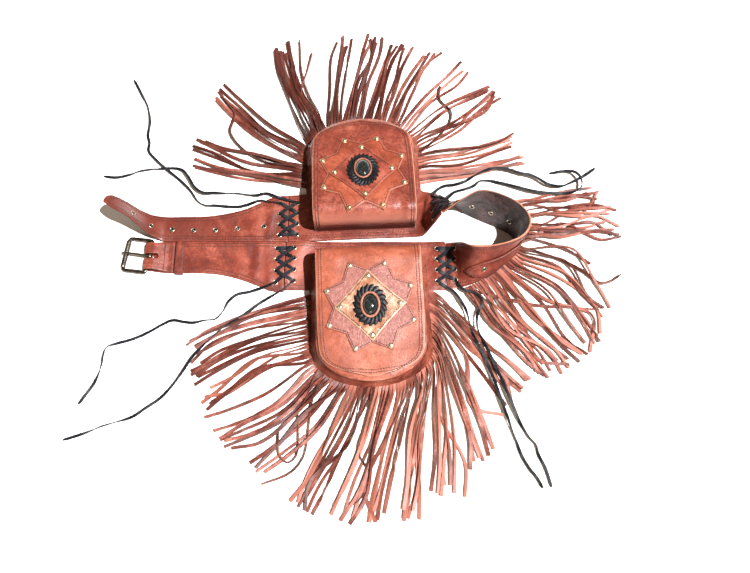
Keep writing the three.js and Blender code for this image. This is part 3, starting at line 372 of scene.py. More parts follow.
class Bend:
    """A line in an upright plane that a flat sheet follows."""

    def __init__(self, line):
        self.line, self.lengths, self.run = line, run_lengths(line), way_of(line)
        self.length = self.lengths[-1]

    def at(self, along, height):
        """Places at distances along the line, also past its ends, and at heights to its left."""
        way = rows_at(along, self.lengths, self.run)
        past = along - np.clip(along, 0, self.length)
        left = columns(-way[:, 1], way[:, 0])
        return rows_at(along, self.lengths, self.line) + way * past[:, None] + left * height[:, None]


def frame_at(place, spot, height):
    """Place, normal and forward way on a sheet's face at a flat spot."""
    flat = np.array([spot], float)
    at = lambda where, up: place(where, np.array([up]))[0]
    centre = at(flat, height)
    return centre, unit(at(flat, height + 1.0) - centre), at(flat + [[1.0, 0]], height) - centre


# Meshes
def add_object(name, data):
    obj = bpy.data.objects.new(name, data)
    bpy.context.scene.collection.objects.link(obj)
    return obj


SHARP_ANGLE = math.radians(50)


class Mesher:
    """Gathers the points and faces of one piece, with each point's distance from a cut edge and its tone."""

    def __init__(self):
        self.points, self.faces, self.slots, self.edges, self.tones = [], [], [], [], []
        self.count = 0

    def add(self, points, faces, slot=0, edge=9.0, tone=0.5):
        self.faces += [[i + self.count for i in face] for face in faces]
        self.slots += [slot] * len(faces) if isinstance(slot, int) else slot
        self.points.append(points)
        self.edges.append(np.broadcast_to(edge, len(points)))
        self.tones.append(np.broadcast_to(tone, len(points)))
        self.count += len(points)

    def piece(self, name, materials, slot, replaces=(), body="belt"):
        mesh = bpy.data.meshes.new(name)
        mesh.from_pydata((np.vstack(self.points) * MM).tolist(), [], self.faces)
        mesh.polygons.foreach_set("material_index", self.slots)
        mesh.polygons.foreach_set("use_smooth", [True] * len(self.faces))
        mesh.set_sharp_from_angle(angle=SHARP_ANGLE)
        for label, values in (("edge", self.edges), ("tone", self.tones)):
            layer = mesh.attributes.new(label, "FLOAT", "POINT")
            layer.data.foreach_set("value", np.concatenate(values).astype(np.float32))
        for material in materials:
            mesh.materials.append(material)
        obj = add_object(name, mesh)
        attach(obj, body)
        if replaces:
            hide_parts(*replaces)
        return obj


def ring_faces(rows, sides, close_rows=False, caps=True):
    """Faces of a tube of rows of points."""
    faces = []
    for i in range(rows if close_rows else rows - 1):
        a, b = i * sides, ((i + 1) % rows) * sides
        for j in range(sides):
            k = (j + 1) % sides
            faces.append([a + j, a + k, b + k, b + j])
    if caps and not close_rows:
        faces.append(list(range(sides))[::-1])
        faces.append([(rows - 1) * sides + j for j in range(sides)])
    return faces


STRIP_SECTION = np.array([(0.5, -0.5), (0.5, 0.5), (-0.5, 0.5), (-0.5, -0.5)])


def ribbon(path, up, width, thickness):
    """A flat strip along path; up is the way its face turns at each point."""
    run = way_of(path)
    side = unit(np.cross(run, up))
    out = np.cross(side, run)
    wide, deep = (np.broadcast_to(size, len(path))[:, None] * STRIP_SECTION[:, i]
                  for i, size in enumerate((width, thickness)))
    rings = path[:, None] + side[:, None] * wide[..., None] + out[:, None] * deep[..., None]
    return rings.reshape(-1, 3), ring_faces(len(path), len(STRIP_SECTION))


def tube(path, radius, sides=12, closed=False, squash=1.0):
    """A round bar along path, with a radius for each point if wanted; squash flattens it along Z."""
    run = unit(np.roll(path, -1, 0) - np.roll(path, 1, 0)) if closed else way_of(path)
    guide = np.where(np.abs(run[:, 2:3]) > 0.95, np.array([[0, 1.0, 0]]), UP[None])
    side = unit(np.cross(run, guide))
    out = np.cross(side, run)
    angle = round_angles(sides)[None, :, None]
    ring = side[:, None] * np.cos(angle) + squash * out[:, None] * np.sin(angle)
    size = np.broadcast_to(radius, len(path))[:, None, None]
    return (path[:, None] + size * ring).reshape(-1, 3), ring_faces(len(path), sides, closed)


def lathe(profile, sides):
    """A solid turned about Z from (radius, height) rows that start and end on the axis, or a closed ring."""
    radius, height = np.array(profile, float).T[..., None]
    angle = round_angles(sides)
    x, y = radius * np.cos(angle), radius * np.sin(angle)
    rings = np.stack([x, y, np.repeat(height, sides, axis=1)], axis=2)
    return rings.reshape(-1, 3), ring_faces(len(profile), sides, bool(profile[0][0] > 0), caps=False)


def stand(points, centre, normal, ahead):
    """Points of an upright shape stood on centre with its Z along normal and its X near ahead."""
    x = unit(ahead - normal * np.dot(ahead, normal))
    return centre + points @ np.stack([x, np.cross(normal, x), normal])


def slab(mesher, under, over, slot=0, lining=0):
    """A closed wall between two grids of points."""
    size = under.shape[0] * under.shape[1]
    grid = np.arange(size).reshape(under.shape[:2])
    quads = np.stack([grid[:-1, :-1], grid[1:, :-1], grid[1:, 1:], grid[:-1, 1:]], axis=2).reshape(-1, 4)
    rim = np.concatenate([grid[:-1, 0], grid[-1, :-1], grid[:0:-1, -1], grid[0, :0:-1]])
    after = np.roll(rim, -1)
    faces = np.vstack([quads + size, columns(rim, after, after + size, rim + size), quads[:, [0, 3, 2, 1]]])
    slots = [slot] * (len(faces) - len(quads)) + [lining] * len(quads)
    mesher.add(np.vstack([under.reshape(-1, 3), over.reshape(-1, 3)]), faces.tolist(), slots)


# Cut leather: an outline and its holes are filled with triangles, given thickness and rounded edges
def inset(loop, distance):
    """A closed loop moved to the left of its direction, which is into the leather."""
    before, after = loop - np.roll(loop, 1, 0), np.roll(loop, -1, 0) - loop
    n0, n1 = (unit(columns(-d[:, 1], d[:, 0])) for d in (before, after))
    miter = unit(n0 + n1)
    reach = distance / np.clip((miter * n1).sum(1), 0.5, 1)
    return loop + miter * reach[:, None]


def is_inside(points, loop):
    x, y = points[:, 0, None], points[:, 1, None]
    a, b = loop, np.roll(loop, -1, 0)
    rise = np.where(b[:, 1] == a[:, 1], 1e-9, b[:, 1] - a[:, 1])
    crossing = ((a[:, 1] > y) != (b[:, 1] > y)) & (x < a[:, 0] + (y - a[:, 1]) * (b[:, 0] - a[:, 0]) / rise)
    return crossing.sum(1) % 2 == 1


def edge_distance(points, loops):
    best = np.full(len(points), 1e9)
    for a in loops:
        d = np.roll(a, -1, 0) - a
        share = ((points[:, None] - a) * d).sum(2) / np.maximum((d * d).sum(1), 1e-9)
        near = a + np.clip(share, 0, 1)[..., None] * d
        best = np.minimum(best, np.linalg.norm(points[:, None] - near, axis=2).min(1))
    return best


def area_of(loop):
    after = np.roll(loop, -1, 0)
    return 0.5 * (loop[:, 0] * after[:, 1] - after[:, 0] * loop[:, 1]).sum()


def circle(centre, radius, count=14):
    return np.asarray(centre) + oval(radius, radius, -round_angles(count))


# Steps of a rounded edge: distance inwards, and drop of the face, as shares of the edge's size
RIM_STEPS, RIM_DROPS = (0, 0.35, 1), np.array([1, 0.24, 0])


def cut_sheet(mesher, outline, place, thickness, holes=(), edge=0.8, grid=4.0, slot=0, lining=0, tone=0.5):
    """Adds a cut piece of leather; place maps flat points and heights over the lining side to space."""
    outline = outline if area_of(outline) > 0 else outline[::-1]
    loops = [outline, *holes]
    low, high = outline.min(0), outline.max(0)
    xs, ys = np.arange(low[0], high[0], grid), np.arange(low[1], high[1], grid * 0.87)
    lattice = np.stack(np.meshgrid(xs, ys), axis=2)
    lattice[1::2, :, 0] += grid / 2
    inner = lattice.reshape(-1, 2)
    inner = inner[is_inside(inner, outline)]
    inner = inner[edge_distance(inner, loops) > edge + 0.4 * grid]
    flat, depths, ties, starts = [], [], [], []
    for loop in loops:
        starts.append((len(depths), len(loop)))
        for depth, share in enumerate(RIM_STEPS):
            first = len(depths)
            ties += [(first + i, first + (i + 1) % len(loop)) for i in range(len(loop))]
            flat.append(inset(loop, share * edge))
            depths += [depth] * len(loop)
    flat = np.vstack([*flat, inner])
    depths += [len(RIM_STEPS) - 1] * len(inner)
    made = delaunay_2d_cdt([Vector(p) for p in flat], ties, [], 0, 1e-5)
    source = [ids[0] if ids else -1 for ids in made[3]]
    known = {s: i for i, s in reversed(list(enumerate(source))) if s >= 0}
    spots = np.array([tuple(v) for v in made[0]])
    depth = np.array([depths[s] if s >= 0 else 1 for s in source])
    triangles = np.array(made[2])
    middle = spots[triangles].mean(1)
    keep = is_inside(middle, outline)
    for hole in holes:
        keep &= ~is_inside(middle, hole)
    triangles = triangles[keep]
    count = len(spots)
    faces = triangles.tolist()
    for first, length in starts:
        for i in range(length):
            a, b = known.get(first + i), known.get(first + (i + 1) % length)
            if a is not None and b is not None and a != b:
                faces.append([count + a, count + b, b, a])
    back = (triangles[:, ::-1] + count).tolist()
    top = thickness - edge * RIM_DROPS[depth]
    bottom = np.array([0.3 * thickness, 0.1 * edge, 0])[depth]
    shade = tone(spots) if callable(tone) else np.full(count, tone)
    slots = [slot] * len(faces) + [lining] * len(back)
    points = np.vstack([place(spots, top), place(spots, bottom)])
    mesher.add(points, faces + back, slots, np.tile(edge_distance(spots, [outline]), 2), np.tile(shade, 2))


# Places of the materials in the looks of panels and pouches, and of the thread in the looks of patches
LINING, THREAD, RING, WALL, HOLE_SHADE, PATCH_THREAD = 1, 2, 3, 3, 4, 1
# Rings of a stitch: place along it, size and lift
STITCH_RINGS = np.array([(-0.5, 0.4, -0.45), (-0.26, 1, 0.1), (0.26, 1, 0.1), (0.5, 0.4, -0.45)])
STITCH_LENGTH, STITCH_RADIUS, STITCH_SIDES = 2.6, 0.5, 5


def stitch(mesher, flat_path, place, thickness, slot=THREAD, pitch=3.4, closed=False):
    """A row of stitches along a line given on the flat piece."""
    line = even(np.vstack([flat_path, flat_path[:1]]) if closed else flat_path, 2.0)
    height = np.full(len(line), thickness)
    path = place(line, height)
    normal = unit(place(line, height + 1) - path)
    lengths = run_lengths(path)
    where = np.arange(pitch / 2, lengths[-1] - pitch / 4, pitch)
    if not len(where):
        return
    ahead = unit(at_lengths(path, np.minimum(where + 0.5, lengths[-1])) - at_lengths(path, where - 0.5))
    out = unit(rows_at(where, lengths, normal))
    angle = round_angles(STITCH_SIDES)
    along, size, lift = STITCH_RINGS.T[..., None]
    part = lambda way, amount: way[:, None, None] * amount[None, ..., None]
    points = (at_lengths(path, where)[:, None, None] + part(ahead, STITCH_LENGTH * along)
              + part(out, STITCH_RADIUS * (lift + size * np.sin(angle)))
              + part(np.cross(out, ahead), STITCH_RADIUS * size * np.cos(angle)))
    one = ring_faces(len(STITCH_RINGS), STITCH_SIDES)
    per = len(STITCH_RINGS) * STITCH_SIDES
    faces = [[i + k * per for i in face] for k in range(len(where)) for face in one]
    mesher.add(points.reshape(-1, 3), faces, slot)


def add_eyelet(mesher, place, spot, thickness, washer):
    """A pressed metal ring round an eyelet hole, a black funnel in it as painted shade, and its washer on the
    back.
    """
    centre, normal, ahead = frame_at(place, spot, thickness)
    points, faces = lathe(EYELET_RING, EYELET_SIDES)
    mesher.add(stand(points, centre, normal, ahead), faces, RING)
    if washer:
        mesher.add(stand(points, centre - thickness * normal, -normal, ahead), faces, RING)
    points, faces = lathe(EYELET_SHADE_FUNNEL, EYELET_SIDES)
    mesher.add(stand(points, centre, normal, ahead), faces, HOLE_SHADE)


def eyelet_sheet(mesher, outline, place, thickness, spots, washers=(), **cut):
    """A cut piece with eyelets at flat spots, some with washers behind."""
    cut_sheet(mesher, outline, place, thickness, [circle(spot, EYELET_HOLE) for spot in spots], **cut)
    for spot in spots:
        add_eyelet(mesher, place, spot, thickness, spot in washers)


# Materials
class Shader:
    """The nodes of a material or of the world, with short calls for those used here."""

    def __init__(self, owner, shader="Principled BSDF", place="Object"):
        owner.use_nodes = True
        self.owner = owner
        self.tree = owner.node_tree
        self.shader = self.tree.nodes[shader]
        self.place = self.node("ShaderNodeTexCoord").outputs[place]

    def node(self, kind, inputs=None, **settings):
        node = self.tree.nodes.new(kind)
        for key, value in settings.items():
            setattr(node, key, value)
        for key, value in (inputs or {}).items():
            self.feed(node.inputs[key], value)
        return node

    def feed(self, socket, value):
        if isinstance(value, bpy.types.NodeSocket):
            self.tree.links.new(value, socket)
        else:
            socket.default_value = value

    def set(self, **values):
        for key, value in values.items():
            self.feed(self.shader.inputs[key.replace("_", " ").title()], value)

    def noise(self, scale, detail=3, roughness=0.55, distortion=0.0):
        inputs = {"Vector": self.place, "Scale": scale, "Detail": detail, "Roughness": roughness,
                  "Distortion": distortion}
        return self.node("ShaderNodeTexNoise", inputs).outputs["Fac"]

    def cells(self, scale):
        return self.node("ShaderNodeTexVoronoi", {"Vector": self.place, "Scale": scale}).outputs["Distance"]

    def attribute(self, name):
        return self.node("ShaderNodeAttribute", attribute_name=name).outputs["Fac"]

    def ramp(self, value, stops):
        node = self.node("ShaderNodeValToRGB", {"Fac": value})
        bar = node.color_ramp.elements
        while len(bar) < len(stops):
            bar.new(0.5)
        for element, (position, colour) in zip(bar, stops):
            element.position = position
            element.color = (*colour, 1)
        return node.outputs["Color"]

    def span(self, value, low, high, to_low=0.0, to_high=1.0):
        inputs = {"Value": value, "From Min": low, "From Max": high, "To Min": to_low, "To Max": to_high}
        return self.node("ShaderNodeMapRange", inputs).outputs["Result"]

    def mix(self, share, first, second):
        node = self.node("ShaderNodeMix", data_type="RGBA")
        for key, value in ((0, share), (6, first), (7, second)):
            self.feed(node.inputs[key], (*value, 1) if isinstance(value, tuple) else value)
        return node.outputs[2]

    def maths(self, operation, first, second=0.0):
        return self.node("ShaderNodeMath", {0: first, 1: second}, operation=operation).outputs[0]

    def away(self, value, middle):
        return self.maths("ABSOLUTE", self.maths("SUBTRACT", value, middle))

    def bump(self, height, strength, distance, normal=None):
        inputs = {"Height": height, "Strength": strength, "Distance": distance}
        if normal is not None:
            inputs["Normal"] = normal
        return self.node("ShaderNodeBump", inputs).outputs["Normal"]


def material(name):
    return Shader(bpy.data.materials.new(name))


DYE = 0.72


def dyed(colour):
    return tuple(DYE * c for c in colour)


def leather(name, dark, middle, light, rough=0.37, grain=1000, grain_bump=0.4, rim=None, patches=24,
            folds=0.28, wrinkles=0.4, shine=0.32, seams=(), spread=0.1):
    """Waxed leather: blotches, fine pores, soft wrinkles, pulled seams, and a rim colour along cut edges."""
    dark, middle, light = dyed(dark), dyed(middle), dyed(light)
    s = material(name)
    blotch = s.noise(patches, 6, 0.66, 0.4)
    colour = s.ramp(blotch, [(0.5 - spread, dark), (0.5, middle), (0.5 + 1.2 * spread, light)])
    streak = s.noise(210, 4, 0.72, 1.2)
    colour = s.mix(s.span(streak, 0.44, 0.64, 0.0, 0.75), colour, dark)
    crease = s.away(s.noise(55, 4, 0.6, 0.9), 0.5)
    colour = s.mix(s.span(crease, 0.016, 0.0, 0.0, 0.28), colour, light)
    # Tone: above 0.5 painted highlights and sheen, below 0.5 painted shade; random tone on fringe strips
    colour = s.mix(s.span(s.attribute("tone"), 0.5, 1.0), colour, light)
    colour = s.mix(s.span(s.attribute("tone"), 0.5, 0.0), colour, dark)
    pores = s.cells(grain)
    colour = s.mix(s.span(pores, 0.25, 0.0, 0.0, 0.35), colour, dark)
    fold = s.bump(s.noise(34, 3, 0.5, 1.0), folds, 0.004)
    wrinkle = s.bump(s.noise(120, 5, 0.66, 0.8), wrinkles, 0.0012, fold)
    for seam in seams:
        pulled = s.span(s.away(s.attribute("edge"), seam), 1.1, 0.2)
        colour = s.mix(s.maths("MULTIPLY", pulled, 0.4), colour, dark)
        wrinkle = s.bump(pulled, -0.5, 0.0006, wrinkle)
    if rim:
        colour = s.mix(s.span(s.attribute("edge"), 1.1, 0.25), colour, dyed(rim))
    s.set(base_color=colour, roughness=s.span(blotch, 0.3, 0.75, rough + 0.1, rough - 0.08))
    s.shader.inputs["Specular IOR Level"].default_value = shine
    s.set(normal=s.bump(pores, grain_bump, 0.0004, wrinkle))
    return s.owner


def metal(name, colour, tarnish, rough):
    """Plated metal with tarnish in patches and fine scuffs."""
    s = material(name)
    stain = s.noise(260, 4, 0.6)
    s.set(base_color=s.ramp(stain, [(0.35, tarnish), (0.62, colour)]), metallic=1.0)
    s.set(roughness=s.span(s.noise(900, 3), 0.3, 0.7, rough - 0.06, rough + 0.12))
    s.set(normal=s.bump(s.noise(1400, 2), 0.08, 0.0003))
    return s.owner


def thread(name, colour):
    s = material(name)
    s.set(base_color=s.mix(s.noise(2400, 2), tuple(0.6 * c for c in colour), colour), roughness=0.7)
    return s.owner


def polished_stone(name):
    """Dark green stone with cloudy veins under a clear polish."""
    s = material(name)
    cloud = s.noise(190, 6, 0.65, 1.5)
    veins = [(0.32, (0.004, 0.006, 0.006)), (0.55, (0.010, 0.0145, 0.014)), (0.74, (0.055, 0.07, 0.068))]
    s.set(base_color=s.ramp(cloud, veins), roughness=s.span(cloud, 0.3, 0.7, 0.07, 0.16), coat_weight=0.6)
    return s.owner


# Where tone calls for it, the light colour gives painted highlights and sheen and the dark one painted shade
BELT_COLOURS = ((0.13, 0.022, 0.013), (0.25, 0.045, 0.0265), (0.42, 0.11, 0.071))
BELT_SEAMS, FLAP_SEAMS = (2.6, 6.0), (3.4, 6.6)
FLAP_RIM = (0.62, 0.3, 0.19)
belt_leather = leather("belt_leather", *BELT_COLOURS, rim=(0.16, 0.032, 0.018), seams=BELT_SEAMS)
hip_leather = leather("hip_leather", *BELT_COLOURS, rim=(0.5, 0.2, 0.11), seams=BELT_SEAMS)
# Through tone, the flaps' light colours give their painted highlight and dark colours the painted root shadow
flap_leather = leather(
    "flap_leather", (0.25, 0.055, 0.027), (0.42, 0.108, 0.058), (0.58, 0.195, 0.12), 0.36, rim=FLAP_RIM,
    seams=FLAP_SEAMS, spread=0.14, folds=0.16, wrinkles=0.2)
upper_flap_leather = leather(
    "upper_flap_leather", (0.07, 0.012, 0.008), (0.3, 0.058, 0.034), (0.7, 0.25, 0.175), 0.34, rim=FLAP_RIM,
    seams=FLAP_SEAMS, spread=0.34, folds=0.12, wrinkles=0.12)
wall_leather = leather(
    "wall_leather", (0.15, 0.026, 0.013), (0.36, 0.08, 0.042), (0.5, 0.15, 0.09), 0.32, grain_bump=0.1,
    shine=0.9, wrinkles=0.08, folds=0.4)
# A darker copy of the wall leather: painted shade on the pouch sides
shaded_gusset_leather = leather(
    "shaded_gusset_leather", (0.09, 0.018, 0.01), (0.27, 0.058, 0.033), (0.44, 0.13, 0.08), 0.28, shine=0.5,
    wrinkles=0.12)
star_leather = leather(
    "star_leather", (0.22, 0.066, 0.052), (0.36, 0.13, 0.105), (0.52, 0.25, 0.215), 0.46, 480, 1.0,
    rim=(0.3, 0.08, 0.045), patches=230, spread=0.3)
upper_star_leather = leather(
    "upper_star_leather", (0.2, 0.036, 0.016), (0.35, 0.07, 0.034), (0.48, 0.13, 0.07), 0.4,
    rim=(0.44, 0.17, 0.1))
upper_diamond_leather = leather(
    "upper_diamond_leather", (0.17, 0.03, 0.017), (0.34, 0.06, 0.034), (0.48, 0.13, 0.08), 0.42, 600, 0.9,
    rim=(0.32, 0.09, 0.05), patches=50)
tan_leather = leather(
    "tan_leather", (0.28, 0.09, 0.036), (0.39, 0.165, 0.078), (0.6, 0.42, 0.29), 0.28, rim=(0.7, 0.5, 0.33),
    patches=90)
bezel_leather = leather("bezel_leather", (0.26, 0.08, 0.045), (0.42, 0.15, 0.09), (0.56, 0.26, 0.18), 0.4)
black_leather = leather(
    "black_leather", (0.002, 0.002, 0.003), (0.005, 0.005, 0.008), (0.013, 0.013, 0.018), 0.42, shine=0.25)
lace_leather = leather(
    "lace_leather", (0.003, 0.0035, 0.005), (0.007, 0.008, 0.012), (0.016, 0.018, 0.027), 0.5, shine=0.25)
fringe_leather = leather(
    "fringe_leather", (0.085, 0.017, 0.011), (0.26, 0.057, 0.038), (0.5, 0.175, 0.125), 0.46, patches=30)
# Cut sides and backs of the strips: darker, partly their own suede colour and partly painted shade between
# strips
fringe_suede_and_shade = leather(
    "fringe_suede_and_shade", (0.06, 0.015, 0.009), (0.16, 0.045, 0.028), (0.36, 0.135, 0.092), 0.8, patches=30,
    shine=0.2)
lining_leather = leather(
    "lining_leather", (0.03, 0.011, 0.01), (0.075, 0.026, 0.024), (0.14, 0.06, 0.052), 0.45, patches=40,
    folds=0.8, wrinkles=0.6)
nickel = metal("nickel", (0.84, 0.76, 0.6), (0.5, 0.38, 0.24), 0.34)
rivet_brass = metal("rivet_brass", (0.72, 0.56, 0.35), (0.38, 0.25, 0.13), 0.34)
eyelet_brass = metal("eyelet_brass", (0.56, 0.49, 0.38), (0.28, 0.22, 0.16), 0.3)
bronze = metal("bronze", (0.19, 0.16, 0.125), (0.045, 0.036, 0.03), 0.3)
dark_thread = thread("dark_thread", (0.05, 0.011, 0.008))
stone_polish = polished_stone("stone_polish")
# Black leather in the last place is painted shade inside the eyelet holes
PANEL_LOOK = [belt_leather, lining_leather, dark_thread, eyelet_brass, black_leather]
HIP_LOOK = [hip_leather, *PANEL_LOOK[1:]]
POUCH_LOOKS = {
    "lower": {"flap": flap_leather, "star": star_leather, "diamond": tan_leather, "rivet": nickel},
    "upper": {"flap": upper_flap_leather, "star": upper_star_leather, "diamond": upper_diamond_leather,
              "rivet": rivet_brass},
}


# Belt panels
class Strip:
    """A panel through its stations; a flat place is (distance along it, distance from its hem)."""

    def __init__(self, stations, ridges=(), glows=(), meet=None, bulge=0.0):
        shares = np.linspace(0, 1, 40 * (len(stations) - 1) + 1)
        self.hem, self.waist = (spline([s[i] for s in stations], shares) for i in range(2))
        self.along = run_lengths((self.hem + self.waist) / 2)
        self.length = self.along[-1]
        self.ridges, self.glows, self.meet, self.bulge = ridges, glows, meet, bulge

    def edge(self, line, along):
        past = np.clip(along, 0, self.length) - along
        return rows_at(along, self.along, line) - unit(line[-1:] - line[-2:-1]) * past[:, None]

    def edges(self, along):
        return self.edge(self.hem, along), self.edge(self.waist, along)

    def width(self, along):
        hem, waist = self.edges(np.atleast_1d(np.asarray(along, float)))
        return np.linalg.norm(waist - hem, axis=1)

    def at_share(self, shares):
        """Distances along the strip at shares of its stations."""
        return np.interp(shares, np.linspace(0, 1, len(self.along)), self.along)

    def spot(self, along, row):
        """A flat place at a share of the width."""
        return along, row * self.width(along)[0]

    def point(self, flat):
        hem, waist = self.edges(flat[:, 0])
        return hem + unit(waist - hem) * flat[:, 1:]

    def place(self, flat, height):
        along, across = flat.T
        step = np.array([[0.6, 0.0]])
        run = self.point(np.clip(flat + step, 0, None)) - self.point(flat - step)
        hem, waist = self.edges(along)
        normal = unit(np.cross(run, waist - hem))
        wave = PANEL_WAVES * (np.sin(along / 11 + across / 17) + np.sin(across / 9 - along / 23))
        for at, lean, rise, half in self.ridges:
            wave = wave + rise * np.exp(-(((along - at - lean * (across - 30)) / half) ** 2))
        wave = np.where(height > BELT / 2, wave * np.clip(across / 12, 0, 1), 0)
        spot = self.point(flat) + normal * (height + wave)[:, None]
        spot[:, 2] = np.maximum(spot[:, 2], LEAST_HEIGHT)
        return spot

    def line(self, across, start=0.0, end=0.0, step=3.0):
        """A flat line along the strip at a distance from its hem, or from its waist edge if negative."""
        along = np.linspace(start, self.length - end, int((self.length - start - end) / step) + 2)
        return columns(along, self.width(along) + across if across < 0 else np.full(len(along), across))

    def waist_line(self):
        """The waist edge, let out a little where it meets the panel across from it."""
        line = self.line(-1e-6)
        if self.meet is not None:
            edge = self.edge(self.waist, line[:, 0])
            line[:, 1] += np.clip(np.abs(edge[:, 1] - self.meet), 0, 1.6) * np.clip(1 - edge[:, 2] / 4, 0, 1)
        return line

    def outline(self, hem=None):
        """The panel's outline, with another line for its hem if given."""
        hem = self.line(0.0) if hem is None else hem
        waist = self.waist_line()
        end = between(hem[-1], waist[-1], 1.5 if self.bulge else 3.0)
        end[:, 0] += self.bulge * (1 - np.linspace(-1, 1, len(end) + 2)[1:-1] ** 2)
        return np.vstack([hem, end, waist[::-1], between(waist[0], hem[0])])

    def tone(self, flat):
        """Painted highlights, sheen and painted shade on the leather, carried by its tone."""
        shade = np.full(len(flat), 0.5)
        for along, across, half_along, half_across, amount in self.glows:
            away = ((flat[:, 0] - along) / half_along) ** 2 + ((flat[:, 1] - across) / half_across) ** 2
            shade = shade + amount * np.exp(-away)
        return np.clip(shade, 0, 1)

    def lacing(self, at_end):
        along = self.length - LACING_INSET if at_end else LACING_INSET
        return [self.spot(along, row) for row in LACING_ROWS]


strips = {name: Strip(**panel) for name, panel in PANELS.items()}


def stitch_edges(mesher, strip, start=4.0, end=3.0):
    """Two rows of stitches along each edge of a strip."""
    for inset_by in BELT_SEAMS:
        for across in (inset_by, -inset_by):
            stitch(mesher, strip.line(across, start, end), strip.place, BELT)


def plain_panel(name, spots, washers, look):
    strip = strips[name]
    mesher = Mesher()
    eyelet_sheet(mesher, strip.outline(), strip.place, BELT, spots, washers, lining=LINING, tone=strip.tone)
    stitch_edges(mesher, strip)
    mesher.piece(name, look, "belt_leather", [f"{name}_panel"])


def make_tongue():
    strip = strips["tongue"]
    spots = [strip.spot(strip.length - from_tip, row) for from_tip, row in TONGUE_EYELETS]
    plain_panel("tongue", spots + strip.lacing(False), spots[:2], PANEL_LOOK)


def hip_strap_spots():
    strip = strips["hip"]
    start = float(strip.at_share(HIP_STRAP_RUN[0]))
    return [strip.spot(start + distance, HIP_STRAP_ROW) for distance in HIP_STRAP_EYELETS]


def make_hip():
    strip = strips["hip"]
    row = hip_strap_spots()
    plain_panel("hip", strip.lacing(False) + strip.lacing(True) + row, row, HIP_LOOK)


def make_hip_strap():
    """The pointed strap sewn round the outside of the hip panel."""
    strip = strips["hip"]
    start, end = strip.at_share(HIP_STRAP_RUN)
    low, high = (share * HIP_STRAP_ACROSS for share in HIP_STRAP_BAND)
    middle, half = (low + high) / 2, (high - low) / 2
    tip = [(start + d, middle - share * half) for d, share in HIP_STRAP_POINT]
    tail = [(end - d, middle - share * half) for d, share in HIP_STRAP_POINT[::-1]]
    side = np.linspace(start + HIP_STRAP_SIDE, end - HIP_STRAP_SIDE, 60)
    lower_edge = np.vstack([tip, columns(side, np.full(len(side), low)), tail])
    outline = np.vstack([lower_edge, lower_edge[-2:0:-1] * [1, -1] + [0, 2 * middle]])
    place = lambda flat, height: strip.place(flat, height + BELT + HIP_STRAP_GAP)
    mesher = Mesher()
    eyelet_sheet(mesher, even_loop(outline, 2.4), place, HIP_STRAP_THICKNESS, hip_strap_spots(), edge=0.7)
    stitch(mesher, inset(outline, BELT_SEAMS[0]), place, HIP_STRAP_THICKNESS, closed=True)
    mesher.piece("hip_strap_piece", PANEL_LOOK, "belt_leather", ["hip_strap"])


def make_buckle_panel():
    """The strap with its end turned back over the heel bar, slotted for the prong."""
    strip = strips["buckle"]
    mesher = Mesher()
    whole = strip.outline()
    end_x, hem_y = PANELS["buckle"]["stations"][0][0][:2]
    low, high = TURN_BACK_Y - hem_y - SLOT_HALF, TURN_BACK_Y - hem_y + SLOT_HALF
    deep = SLOT_BELOW_END - end_x
    at_end = (whole[:, 0] < 0.01) & (np.arange(len(whole)) > 0)
    notch = [(0, high), (deep, high), (deep, low), (0, low)]
    before, after = whole[~at_end | (whole[:, 1] > high + 0.5)], whole[at_end & (whole[:, 1] < low - 0.5)]
    outline = np.vstack([before, notch, after])
    eyelet_sheet(mesher, outline, strip.place, BELT, strip.lacing(True), lining=LINING, tone=strip.tone)
    stitch_edges(mesher, strip, start=36)
    fold = Bend(smooth_path(TURN_BACK, 0.8))

    def place(flat, height):
        along, across = flat.T
        pucker = 0.12 * np.sin(along * 0.9 + np.sin(across / 5)) * np.clip(along / 12 - 1, 0, 1)
        bent = fold.at(along, np.where(height > 1, height + pucker, height))
        return columns(bent[:, 0], across + TURN_BACK_Y, np.maximum(bent[:, 1], LEAST_HEIGHT))

    along = np.linspace(0, fold.length, 24)
    half = np.interp(along, *np.array(TURN_BACK_WIDTHS).T)
    far = int(np.argmin(fold.line[:, 0]))
    slot_end = float(np.interp(SLOT_END, fold.line[far:, 0], fold.lengths[far:]))
    slot = [(0, SLOT_HALF), (slot_end, SLOT_HALF), (slot_end, -SLOT_HALF), (0, -SLOT_HALF)]
    loop = np.vstack([columns(along, -half), columns(along, half)[::-1], slot])
    cut_sheet(mesher, even_loop(loop, 2.0), place, TURN_BACK_THICKNESS, grid=2.4, lining=LINING)
    for back in TURN_BACK_SEAMS:
        across = np.array([(fold.length - back, side * (half[-1] - 2)) for side in (-1, 1)])
        stitch(mesher, across, place, TURN_BACK_THICKNESS, pitch=2.8)
    mesher.piece("buckle_strap", PANEL_LOOK, "belt_leather", ["buckle_panel"])


